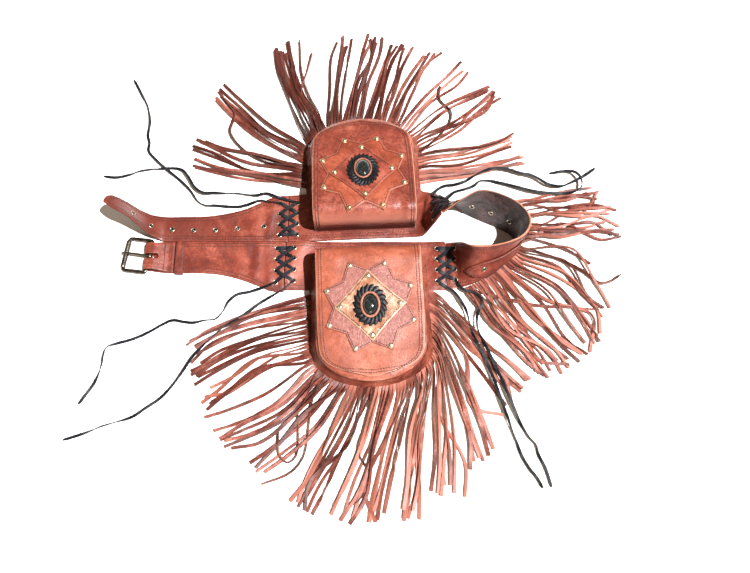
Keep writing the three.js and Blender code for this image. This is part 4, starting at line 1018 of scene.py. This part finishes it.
def make_keeper():
    """A loop of leather over the strap, with rounded shoulders."""
    (low, high), top, ease = KEEPER_Y, BELT + KEEPER_ROOM, KEEPER_SHOULDER
    arch = Bend(smooth_path([(low, 0), (low, top - ease), (low + ease, top), ((low + high) / 2, top + 0.5),
                             (high - ease, top), (high, top - ease), (high, 0)], 1.2))

    def place(flat, height):
        bent = arch.at(flat[:, 0], height)
        return columns(flat[:, 1] + KEEPER_X[0], bent[:, 0], np.maximum(bent[:, 1], LEAST_HEIGHT))

    width = KEEPER_X[1] - KEEPER_X[0]
    corners = np.array([(0, 0), (arch.length, 0), (arch.length, width), (0, width)], float)
    mesher = Mesher()
    cut_sheet(mesher, even_loop(corners, 1.6), place, KEEPER_THICKNESS, edge=0.6, grid=2.0, lining=LINING)
    for across in (KEEPER_SEAM, width - KEEPER_SEAM):
        line = np.array([(4, across), (arch.length - 4, across)])
        stitch(mesher, line, place, KEEPER_THICKNESS, pitch=2.8)
    mesher.piece("keeper_loop", PANEL_LOOK, "belt_leather", ["keeper"])


# Pouches
class Pouch:
    """One pouch: its walls, its flap and places on the flap's curved face."""

    def __init__(self, name, sizes):
        self.name = name
        self.__dict__.update(sizes)
        self.look = POUCH_LOOKS[name]
        near, far = np.array(self.plane, float)
        front_rows = near + np.linspace(0.08, 1.0, 12)[:, None] * (far - near)
        self.bend = Bend(rounded(smooth_path(np.vstack([self.profile, front_rows]), 1.0), self.shoulder))
        self.length = self.bend.length
        on_front = self.bend.line[:, 0] < near[0]
        self.badge_at = np.interp(-self.badge, -self.bend.line[on_front, 0], self.bend.lengths[on_front])
        self.back = (self.base[1], *self.base[1:])

    def plane_height(self, y):
        (y0, z0), (y1, z1) = self.plane
        return z0 + (z1 - z0) * (y - y0) / (y1 - y0)

    def world(self, points):
        return turned(points, self.turn) + [*self.at, 0]

    def on_floor(self, line):
        return self.world(np.column_stack([line, np.zeros(len(line))]))

    def on_flap(self, flat, height):
        """Places on the flap for points (across, along from its sewn edge) and heights over its lining."""
        x, along = flat.T
        share = np.clip(along / self.length, 0, 1)
        crown = FLAP_CROWN * (1 - (x / FLAP_HALF) ** 2) * np.sin(np.pi * share)
        dents = 0.5 * np.sin(x / 13 + along / 19) * np.sin(along / 15 - x / 21)
        for at_x, at_along, half_x, half_along, rise in self.creases:
            away = ((x - at_x) / half_x) ** 2 + ((along - at_along) / half_along) ** 2
            dents = dents + rise * np.exp(-away)
        bent = self.bend.at(along, -(height + (crown + dents) * np.clip(share * 6, 0, 1)))
        return self.world(np.column_stack([x, bent]))

    def tone(self, flat):
        """The flap's tone, with a painted highlight across one part of its length and a painted shadow at its
        root.
        """
        base, middle, half, amount = self.glow
        painted_sheen = amount * np.exp(-(((flat[:, 1] - middle) / half) ** 2))
        return np.clip(base + painted_sheen - FLAP_ROOT_SHADOW * np.exp(-((flat[:, 1] / FLAP_ROOT_SHADOW_REACH) ** 2)), 0, 1)

    def on_badge(self, flat, height):
        return self.on_flap(columns(flat[:, 0], self.badge_at - flat[:, 1]), height + POUCH + GAP)

    def piece(self, mesher, part, ending, look, slot):
        mesher.piece(f"{self.name}_{part}_{ending}", look, slot, [f"{self.name}_{part}"])

    def leather_piece(self, mesher, part, wall=wall_leather):
        look = [self.look["flap"], lining_leather, dark_thread, wall]
        self.piece(mesher, part, "piece", look, "pouch_leather")


def wall_line(wall, mouth, inward=0.0):
    """The U of a pouch wall: down one side, round its end and up the other."""
    mouth_half, half, end = wall[0] - inward, wall[1] - inward, wall[2] + inward
    bottom = oval(half, POUCH_ROUND, np.linspace(np.pi, TURN, 60)) + [0, end + POUCH_ROUND]
    return even(np.vstack([[(-mouth_half, mouth)], bottom, [(mouth_half, mouth)]]), 3.0)


def make_flap(pouch):
    mesher = Mesher()
    side = [(FLAP_HALF + 0.5, 0), *[(FLAP_HALF, along) for along in (20, 60, pouch.length - 70)]]
    right = smooth_path([*side, *[(half, pouch.length - from_end) for from_end, half in FLAP_END]], 2.6)
    outline = np.vstack([right, right[::-1] * [-1, 1], between(right[0] * [-1, 1], right[0])])
    cut_sheet(mesher, outline, pouch.on_flap, POUCH, edge=0.7, grid=3.4, lining=LINING, tone=pouch.tone)
    for inset_by in FLAP_SEAMS:
        shrunk = np.vstack([right - [inset_by, 0], (right[::-1] - [inset_by, 0]) * [-1, 1]])
        shrunk[:, 1] = np.minimum(shrunk[:, 1], pouch.length - inset_by * 1.05 - 0.1 * np.abs(shrunk[:, 0]))
        stitch(mesher, even(shrunk[np.abs(shrunk[:, 0]) > 0.5], 2.0), pouch.on_flap, POUCH, pitch=3.0)
    pouch.leather_piece(mesher, "flap")


def make_front(pouch):
    """The front panel under the flap, its rim turned down to the gusset."""
    line = wall_line(pouch.front, pouch.mouth)
    outline = np.vstack([line, between(line[-1], line[0])])

    def place(flat, height):
        y = flat[:, 1]
        rim = np.clip(1 - edge_distance(flat, [outline]) / FRONT_RIM, 0, 1) ** 2
        rim = np.where(y > pouch.mouth - 6, 0, rim)
        sag = 0.5 * pouch.shoulder * np.clip(1 - (pouch.mouth - y) / (3.2 * pouch.shoulder), 0, 1) ** 2
        z = pouch.plane_height(y) - GAP - POUCH + height - FRONT_RIM_DROP * rim - sag
        return pouch.world(np.column_stack([flat, z]))

    mesher = Mesher()
    cut_sheet(mesher, outline, place, POUCH, edge=0.7, slot=WALL, lining=LINING)
    stitch(mesher, line[2:-2] * 0.965, place, POUCH, pitch=3.0)
    pouch.leather_piece(mesher, "front")


def make_gusset(pouch):
    """The wall between the back and the front, a little full in the middle."""

    def face(inward):
        lines = wall_line(pouch.base, POUCH_MOUTH, inward), wall_line(pouch.front, pouch.mouth, inward)
        low, high = (at_lengths(line, np.linspace(0, run_lengths(line)[-1], 140)) for line in lines)
        foot, head = BELT + GAP, pouch.plane_height(high[:, 1]) - POUCH - 2 * GAP - 1.5
        rows = []
        for share in np.linspace(0, 1, 9):
            flat = low + (high - low) * share + left_of(low) * GUSSET_BULGE * math.sin(math.pi * share)
            rows.append(np.column_stack([flat, foot + (head - foot) * share]))
        grid = np.stack(rows, axis=1)
        return pouch.world(grid.reshape(-1, 3)).reshape(grid.shape)

    mesher = Mesher()
    slab(mesher, face(POUCH), face(0), WALL, LINING)
    # The sides take the darker leather as painted shade
    pouch.leather_piece(mesher, "gusset", shaded_gusset_leather)


def star_line(pouch):
    k = np.arange(2 * STAR_POINTS)
    radius = np.where(k % 2, STAR_NOTCH, STAR_TIP)
    return oval(radius, radius, math.radians(pouch.star_phase) + np.pi * k / STAR_POINTS)


def diamond_line(pouch):
    start = math.radians(pouch.star_phase) + math.pi / STAR_POINTS - math.pi / 4
    at = lambda radius, quarter: oval(radius, radius, start + math.pi / 2 * quarter)
    t = np.linspace(0, 1, 16, endpoint=False)[:, None]
    side = lambda q: ((1 - t) ** 2 * at(DIAMOND_CORNER, q) + 2 * t * (1 - t) * at(DIAMOND_DENT, q + 0.5)
                      + t * t * at(DIAMOND_CORNER, q + 1))
    return np.vstack([side(q) for q in range(4)])


def make_patch(pouch, label, line, height, grid, slot):
    """A patch on the flap, stitched a little inside its edge."""
    mesher = Mesher()
    place = lambda flat, h: pouch.on_badge(flat, h + height)
    cut_sheet(mesher, even_loop(line, 2.2), place, PATCH, edge=0.6, grid=grid)
    stitch(mesher, inset(line, PATCH_SEAM), place, PATCH, PATCH_THREAD, pitch=2.9, closed=True)
    pouch.piece(mesher, label, "patch", [pouch.look[label], dark_thread], slot)


def make_rosette(pouch, height):
    """Black leather cut into slanted, pointed teeth that overlap round the stone."""
    inner, lean, rows, across_count = 0.5, -0.3, 8, 7
    mesher = Mesher()
    share, across = np.meshgrid(np.linspace(0, 1, rows), np.linspace(-1, 1, across_count), indexing="ij")
    narrow = np.clip((1.03 - share) / 0.42, 0, 1) ** 0.75
    reach = inner + (1.0 - inner) * share
    ridge = (1 - across**2) * np.sin(np.pi * np.clip(share * 0.75 + 0.2, 0, 1))
    lift = 0.5 + 1.5 * ridge + 0.4 * (1 - across)
    for k in range(pouch.teeth):
        angle = TURN * (k + 0.72 * across * narrow) / pouch.teeth + lean * share**1.4
        flat = (oval(*ROSETTE, angle) * reach[..., None]).reshape(-1, 2)
        under, over = (pouch.on_badge(flat, height + up.reshape(-1)).reshape(*share.shape, 3)
                       for up in (0 * lift, lift))
        slab(mesher, under, over)
    pouch.piece(mesher, "rosette", "piece", [black_leather], "black_leather")


def make_stone(pouch, height):
    """The bezel of tan leather and the polished stone in it."""
    across, along = ((b + s) / 2 + 0.1 for b, s in zip(pouch.bezel, pouch.stone))
    ring = oval(across, along, round_angles(64))
    bar = (pouch.bezel[0] - pouch.stone[0]) / 2
    mesher = Mesher()
    mesher.add(*tube(pouch.on_badge(ring, np.full(len(ring), height + 1.2)), bar, closed=True))
    pouch.piece(mesher, "bezel", "ring", [bezel_leather], "tan_leather")
    dome = [(0, 0), *[(math.cos(a), math.sin(a)) for a in np.linspace(0, math.pi / 2, 12)[:-1]], (0, 1)]
    points, faces = lathe(dome, 48)
    gem = Mesher()
    gem.add(stand(points * [*pouch.stone, STONE_HEIGHT], *frame_at(pouch.on_badge, (0, 0), height)), faces)
    pouch.piece(gem, "stone", "dome", [stone_polish], "stone")


def make_rivets(pouch, label, count, reach, turn, height):
    points, faces = lathe(RIVET_PROFILE, 20)
    for k in range(count):
        spot = oval(reach, reach, math.radians(pouch.star_phase + turn + 360 / count * k))
        mesher = Mesher()
        mesher.add(stand(points, *frame_at(pouch.on_badge, spot, height)), faces)
        pouch.piece(mesher, f"{label}_rivet_{k + 1}", "dome", [pouch.look["rivet"]], "nickel")


def make_pouch(pouch):
    make_gusset(pouch)
    make_front(pouch)
    make_flap(pouch)
    on_star, on_diamond = PATCH + GAP, 2 * PATCH + 2 * GAP
    make_patch(pouch, "star", star_line(pouch), 0, 3.2, "star_leather")
    make_patch(pouch, "diamond", diamond_line(pouch), on_star, 2.6, "tan_leather")
    make_rosette(pouch, on_diamond)
    make_stone(pouch, on_diamond + 2.5)
    make_rivets(pouch, "star", 8, STAR_RIVETS, 0, on_star)
    make_rivets(pouch, "diamond", 4, DIAMOND_RIVETS, 180 / STAR_POINTS - 45, on_diamond)


def lower_flat(points):
    start_x, hem_y = PANELS["lower"]["stations"][0][0][:2]
    return columns(points[:, 0] - start_x, points[:, 1] - hem_y)


def upper_flat(points):
    strip = strips["upper"]
    end_x = PANELS["upper"]["stations"][-1][0][0]
    hem = np.interp(points[:, 0], strip.hem[::-1, 0], strip.hem[::-1, 1])
    return columns(strip.length - (points[:, 0] - end_x), hem - points[:, 1])


def make_back_panel(pouch, to_flat):
    """A back panel: the band of the belt in one piece with the back of its pouch."""
    strip = strips[pouch.name]
    flat = to_flat(pouch.on_floor(wall_line(pouch.back, POUCH_MOUTH)))
    below = flat[flat[:, 1] < 0]
    below = below if below[0, 0] < below[-1, 0] else below[::-1]
    low, high = below[:, 0].min(), below[:, 0].max()
    hem = strip.line(0.0)
    outline = strip.outline(np.vstack([hem[hem[:, 0] < low - 2], below, hem[hem[:, 0] > high + 2]]))
    spots = strip.lacing(False) + strip.lacing(True)
    mesher = Mesher()
    eyelet_sheet(mesher, outline, strip.place, BELT, spots, edge=0.9, grid=4.5, lining=LINING,
                 tone=strip.tone)
    for inset_by in BELT_SEAMS:
        stitch(mesher, strip.line(-inset_by, 4, 4), strip.place, BELT)
        line = strip.line(inset_by)
        for first, last in ((4, low - 4), (high + 4, strip.length - 4)):
            stitch(mesher, line[(line[:, 0] > first) & (line[:, 0] < last)], strip.place, BELT)
    mesher.piece(f"{pouch.name}_back_piece", PANEL_LOOK, "belt_leather", [f"{pouch.name}_back_panel"])


# Laces
def lacing_cross(mesher, start, middle, end, over):
    """One stretch of lace out of an eyelet, over the seam and into another, narrow where it is pulled in."""
    (a, na), (m, nm), (b, nb) = start, middle, end
    near_a, near_b = (p + 4.2 * unit(m - p) for p in (a, b))
    path = smooth_path([a - 1.6 * na, a + 0.9 * na, near_a + 2.1 * na, m + (1.5 + over) * nm,
                        near_b + 2.1 * nb, b + 0.9 * nb, b - 1.6 * nb], 0.9)
    from_end = np.minimum(run_lengths(path), run_lengths(path[::-1])[::-1])
    up = np.cross(unit(np.cross(b - a, nm))[None], way_of(path))
    mesher.add(*ribbon(path, up, LACE_WIDTH * np.clip(0.2 + from_end / 9, 0.55, 1), LACE_THICKNESS))


def make_lacing(node, before, after):
    """A bar at the waist row and crosses below it, then the two loose ends."""
    on_face = lambda strip, spot: frame_at(strip.place, spot, BELT)[:2]
    left = [on_face(before, spot) for spot in before.lacing(True)]
    right = [on_face(after, spot) for spot in after.lacing(False)]

    def seam(row_a, row_b):
        share = (LACING_ROWS[row_a] + LACING_ROWS[row_b]) / 2
        ends = ((before, before.length), (after, 0.0))
        (a, na), (b, nb) = (on_face(strip, strip.spot(along, share)) for strip, along in ends)
        return (a + b) / 2, unit(na + nb)

    mesher = Mesher()
    lacing_cross(mesher, left[0], seam(0, 0), right[0], 0.2)
    for row in range(len(LACING_ROWS) - 1):
        lacing_cross(mesher, left[row], seam(row, row + 1), right[row + 1], 0.2)
        lacing_cross(mesher, left[row + 1], seam(row, row + 1), right[row], 2.0)
    mesher.piece(f"{node}_crosses", [lace_leather], "lace_leather", [node])
    for side, (spot, normal) in (("before", left[-1]), ("after", right[-1])):
        make_tail(node, side, spot, normal)


def rolled(path, roll):
    """The way a flat strip faces along path when it is rolled over by an angle at each point."""
    across = unit(np.cross(way_of(path), UP[None]))
    return UP[None] * np.cos(roll)[:, None] + across * np.sin(roll)[:, None]


def make_tail(node, side, spot, normal):
    """A loose end of lace, rolling over here and there as it lies."""
    length, route = TAILS[node, side]
    path = smooth_path(np.array([spot + 2.3 * normal, *route], float), 2.0)
    share = np.linspace(0, 1, len(path))
    roll = 0.5 + 1.1 * np.sin(share * 19 + len(node) + len(side)) * np.sin(share * 5.3 + 0.4)
    path[:, 2] = np.maximum(path[:, 2], LACE_FLOOR + np.abs(np.sin(roll)) * TAIL_WIDTH / 2)
    taper = np.where(share > 0.985, 1 - 30 * (share - 0.985), 1)
    mesher = Mesher()
    mesher.add(*ribbon(path, rolled(path, roll), TAIL_WIDTH * taper, LACE_THICKNESS))
    tail = mesher.piece(f"{node}_tail_{side}", [lace_leather], "lace_leather", [node])


# Fringes
def strip_path(root, outward, tip, bow, unrest):
    """One fringe strip: out of the seam, combed over to its lock, then bowing a little to its tip."""
    span = np.linalg.norm(tip - root)
    aim = (tip - root) / span
    across = np.array([-aim[1], aim[0]])
    across = across if across @ outward > 0 else -across
    leave = unit(0.3 * outward + 0.7 * aim)
    swing = (bow + rng.normal(0, 0.016) * unrest) * span
    curl = rng.normal(0, 0.016) * unrest * span
    knots = np.array([root, root + leave * 0.09 * span, root + 0.45 * (tip - root) + across * swing,
                      tip - aim * 0.2 * span + across * (0.55 * swing + curl), tip])
    return spline(knots, np.linspace(0, 1, 80))


def lay_strip(line, layer):
    """Spaces a route evenly, sways it a little and lays it on the floor or on the strips under it."""
    flat = even(line, STRIP_STEP)
    share = np.linspace(0, 1, len(flat))
    sway = rng.uniform(0.3, 1.7) * np.clip(3 * share, 0, 1)
    sway = sway * np.sin(share * rng.uniform(4, 10) + rng.uniform(0, 6.28))
    flat = flat + left_of(flat) * sway[:, None]
    settle = np.clip(share * 7, 0, 1)
    ripple = 0.6 * (1 + np.sin(share * rng.uniform(4, 9) + layer)) * share
    lie = 0.9 + 1.5 * layer * (1 - 0.8 * share) + ripple
    return np.column_stack([flat, 2.6 * (1 - settle) + lie * settle])


def strip_roll(count, crowd, tilt):
    """How far a strip rolls: on edge near a crowded root, leaning on its neighbour, then flat."""
    share = np.linspace(0, 1, count)
    drift = rng.uniform(0.1, 0.5) * np.sin(share * rng.uniform(3, 8) + rng.uniform(0, 6.28))
    turn = 1.5 * np.exp(-((share - rng.uniform(0.3, 0.9)) / 0.08) ** 2) if rng.random() < 0.16 else 0
    lean = crowd * np.clip(1.5 - share * 1.9, 0, 1) + tilt * (1.1 - share)
    return lean * np.clip(share * 10, 0, 1) + drift * np.clip(share * 4, 0, 1) + turn


STRIP_SIDES = [1, 0, 1, 1]


def add_strip(mesher, path, roll, tone, slim=1.0):
    """A strip: grain side in one material; its cut sides and back darker in a second, partly painted shade.
    """
    up = rolled(path, roll)
    width = STRIP_WIDTH * slim * rng.uniform(0.8, 1.1)
    rest = 0.53 * (np.abs(np.sin(roll)) * width + np.abs(np.cos(roll)) * STRIP_THICKNESS) + 0.15
    path[:, 2] = np.maximum(path[:, 2], rest)
    slots = STRIP_SIDES * (len(path) - 1) + [1, 1]
    mesher.add(*ribbon(path, up, width, STRIP_THICKNESS), slots, tone=tone)


def make_fringe(name, roots, outs, locks, root_roll, pitch, unrest, slim=1.0):
    """Strips side by side along the sewn edge, each lying in the lock for its place there."""
    lengths = run_lengths(roots)
    count = int(lengths[-1] / pitch)
    mesher = Mesher()
    lean, before = 0.0, None
    for k in range(count):
        share = (k + 0.5) / count
        lock = next(lock for lock in locks if share <= lock[1])
        first, last, end, half, tone, bow = lock
        if lock is not before:
            lean = rng.choice([-1, 1]) * rng.uniform(0.3, 0.6)
            before = lock
        within = (share - first) / (last - first) * 2 - 1
        where = np.array([share * lengths[-1]])
        root, ahead = at_lengths(roots, where)[0], at_lengths(roots, where + 1)[0]
        outward = unit(rows_at(where, lengths, outs)[0])
        aim = unit(np.array(end) - root)
        side = np.array([-aim[1], aim[0]])
        side = side * np.sign(side @ (ahead - root))
        tip = end + side * (half * within + rng.normal(0, 2.2)) + aim * min(rng.normal(-2, 6), 4)
        loose = unrest * (3 if rng.random() < 0.14 else 1)
        layer = rng.integers(0, 6)
        path = lay_strip(strip_path(root, outward, tip, bow, loose), layer)
        crowd = root_roll * abs(np.cross(outward, aim)) * np.sign(lean)
        shade = float(np.clip(rng.normal(tone, 0.22), 0, 1))
        add_strip(mesher, path, strip_roll(len(path), crowd, lean), shade, slim)
    for route in STRAY_STRIPS[name]:
        path = lay_strip(spline(route, np.linspace(0, 1, 120)), 3)
        roll = strip_roll(len(path), 0.2, 0.1) + 1.2
        add_strip(mesher, path, roll, float(np.clip(rng.normal(0.4, 0.2), 0, 1)))
    look = [fringe_leather, fringe_suede_and_shade]
    mesher.piece(f"{name}_fringe_strips", look, "fringe_leather", [f"{name}_fringe"])


def pouch_fringe(pouch, start, locks, pitch, unrest):
    roots = pouch.on_floor(wall_line(pouch.back, start, 1.5))[:, :2]
    make_fringe(pouch.name, roots, -left_of(roots), locks, 1.3, pitch, unrest)


def hip_fringe():
    strip = strips["hip"]
    hem = strip.edge(strip.hem, strip.at_share(np.linspace(0.13, 0.83, 80)))[:, :2]
    outs = -left_of(hem)
    make_fringe("hip", hem + (BELT + GAP) * outs, outs, HIP_LOCKS, 0.9, 3.7, 2.3, 0.84)


# Buckle
def buckle_place(points):
    """Points of the buckle's own frame, dipped and turned to where it lies."""
    c, s = math.cos(math.radians(-BUCKLE_DIP)), math.sin(math.radians(-BUCKLE_DIP))
    x, y, z = points.T
    return turned(columns(c * x + s * z, y, -s * x + c * z), BUCKLE_TURN) + BUCKLE_HEEL


def buckle_piece(name, node, body, *shapes):
    mesher = Mesher()
    for points, faces in shapes:
        mesher.add(buckle_place(points), faces)
    mesher.piece(name, [bronze], "bronze", [node], body)


def make_frame():
    """The frame of bent bar, thicker along its arms."""
    far, half = BUCKLE_DEPTH - BUCKLE_CORNER, BUCKLE_HALF - BUCKLE_CORNER
    corners = [(-BUCKLE_CORNER, half, 0), (-far, half, 90), (-far, -half, 180), (-BUCKLE_CORNER, -half, 270)]
    path = []
    for x, y, first in corners:
        bend = oval(BUCKLE_CORNER, BUCKLE_CORNER, np.radians(np.linspace(first, first + 90, 8)))
        path.append(np.column_stack([bend + [x, y], np.zeros(8)]))
    loop = even_loop(np.vstack(path), 1.5)
    bar = np.where(np.abs(loop[:, 1]) > BUCKLE_HALF - 3, BUCKLE_ARM, BUCKLE_BAR)
    buckle_piece("buckle_bar", "buckle_frame", "frame", tube(loop, bar, 14, closed=True, squash=BUCKLE_FLAT))


def make_roller():
    reach = np.linspace(-ROLLER_HALF, ROLLER_HALF, ROLLER_ROWS)
    radius = ROLLER_RADIUS + 0.12 * np.sin(reach * 2.4)
    radius[[0, -1]] = ROLLER_END
    line = columns(np.full(ROLLER_ROWS, -BUCKLE_DEPTH), reach, np.zeros(ROLLER_ROWS))
    buckle_piece("buckle_roller_tube", "buckle_roller", "roller", tube(line, radius, 20))


def make_prong():
    """The prong: an eye round the heel bar and a pin that thins to its tip."""
    x, z = oval(PRONG_EYE, PRONG_EYE, round_angles(28)).T
    eye, eye_faces = tube(columns(x, 0 * x, z), PRONG_EYE_BAR, closed=True)
    eye[:, 1] *= PRONG_EYE_WIDEN
    pin = smooth_path(PRONG_PIN, 1.0)
    radius = 1.6 - 0.5 * np.linspace(0, 1, len(pin)) ** 2
    buckle_piece("buckle_prong_pin", "buckle_prong", "prong", (eye, eye_faces), tube(pin, radius))


# Floor, light and camera
def add_light(name, kind, energy, aim, **settings):
    """A light that shines from the side that aim points to."""
    light = bpy.data.lights.new(name, kind)
    light.energy = energy
    for key, value in settings.items():
        setattr(light, key, value)
    lamp = add_object(name, light)
    lamp.rotation_euler = Vector(aim).to_track_quat("Z", "Y").to_euler()
    return lamp


def make_stage():
    bpy.ops.mesh.primitive_plane_add(size=FLOOR_SIZE, location=(0, 0, FLOOR_DEPTH))
    floor = bpy.context.object
    floor.name = "floor"
    paper = material("floor_paper")
    tint = paper.mix(paper.noise(3, 2), (0.92, 0.915, 0.905), (0.95, 0.945, 0.94))
    paper.set(base_color=tint, roughness=0.9)
    floor.data.materials.append(paper.owner)
    world = bpy.context.scene.world or bpy.data.worlds.new("studio")
    bpy.context.scene.world = world
    sky = Shader(world, "Background", "Generated")
    height = sky.node("ShaderNodeSeparateXYZ", {"Vector": sky.place}).outputs["Z"]
    sky.set(color=sky.ramp(height, [(HORIZON_TOP, HORIZON_COLOUR), (SKY_FROM, SKY_COLOUR)]), strength=1.0)
    add_light("key", "SUN", SUN_ENERGY, SUN_WAY, angle=math.radians(SUN_ANGLE))
    wide, high = WINDOW_SIZE
    window = add_light("window", "AREA", WINDOW_ENERGY, WINDOW_AT, shape="RECTANGLE", size=wide, size_y=high,
                       color=WINDOW_COLOUR)
    window.location = WINDOW_AT


def make_camera():
    data = bpy.data.cameras.new("camera")
    data.lens = CAMERA_LENS
    data.sensor_width = 36
    camera = add_object("camera", data)
    at, to = (Vector(p) * MM for p in (CAMERA_AT, CAMERA_TO))
    camera.location = at
    camera.rotation_euler = (to - at).to_track_quat("-Z", "Y").to_euler()
    bpy.context.scene.camera = camera


make_camera()
make_stage()
for lace, (first_panel, second_panel) in LACES.items():
    make_lacing(lace, strips[first_panel], strips[second_panel])
lower_pouch, upper_pouch = (Pouch(name, sizes) for name, sizes in POUCHES.items())
make_buckle_panel()
make_tongue()
make_hip()
make_hip_strap()
make_keeper()
make_back_panel(lower_pouch, lower_flat)
make_back_panel(upper_pouch, upper_flat)
make_pouch(lower_pouch)
make_pouch(upper_pouch)
pouch_fringe(lower_pouch, -64, LOWER_LOCKS, 4.1, 1.1)
pouch_fringe(upper_pouch, -69, UPPER_LOCKS, 4.3, 0.9)
hip_fringe()
make_frame()
make_roller()
make_prong()
bpy.context.scene.view_settings.view_transform = "Standard"
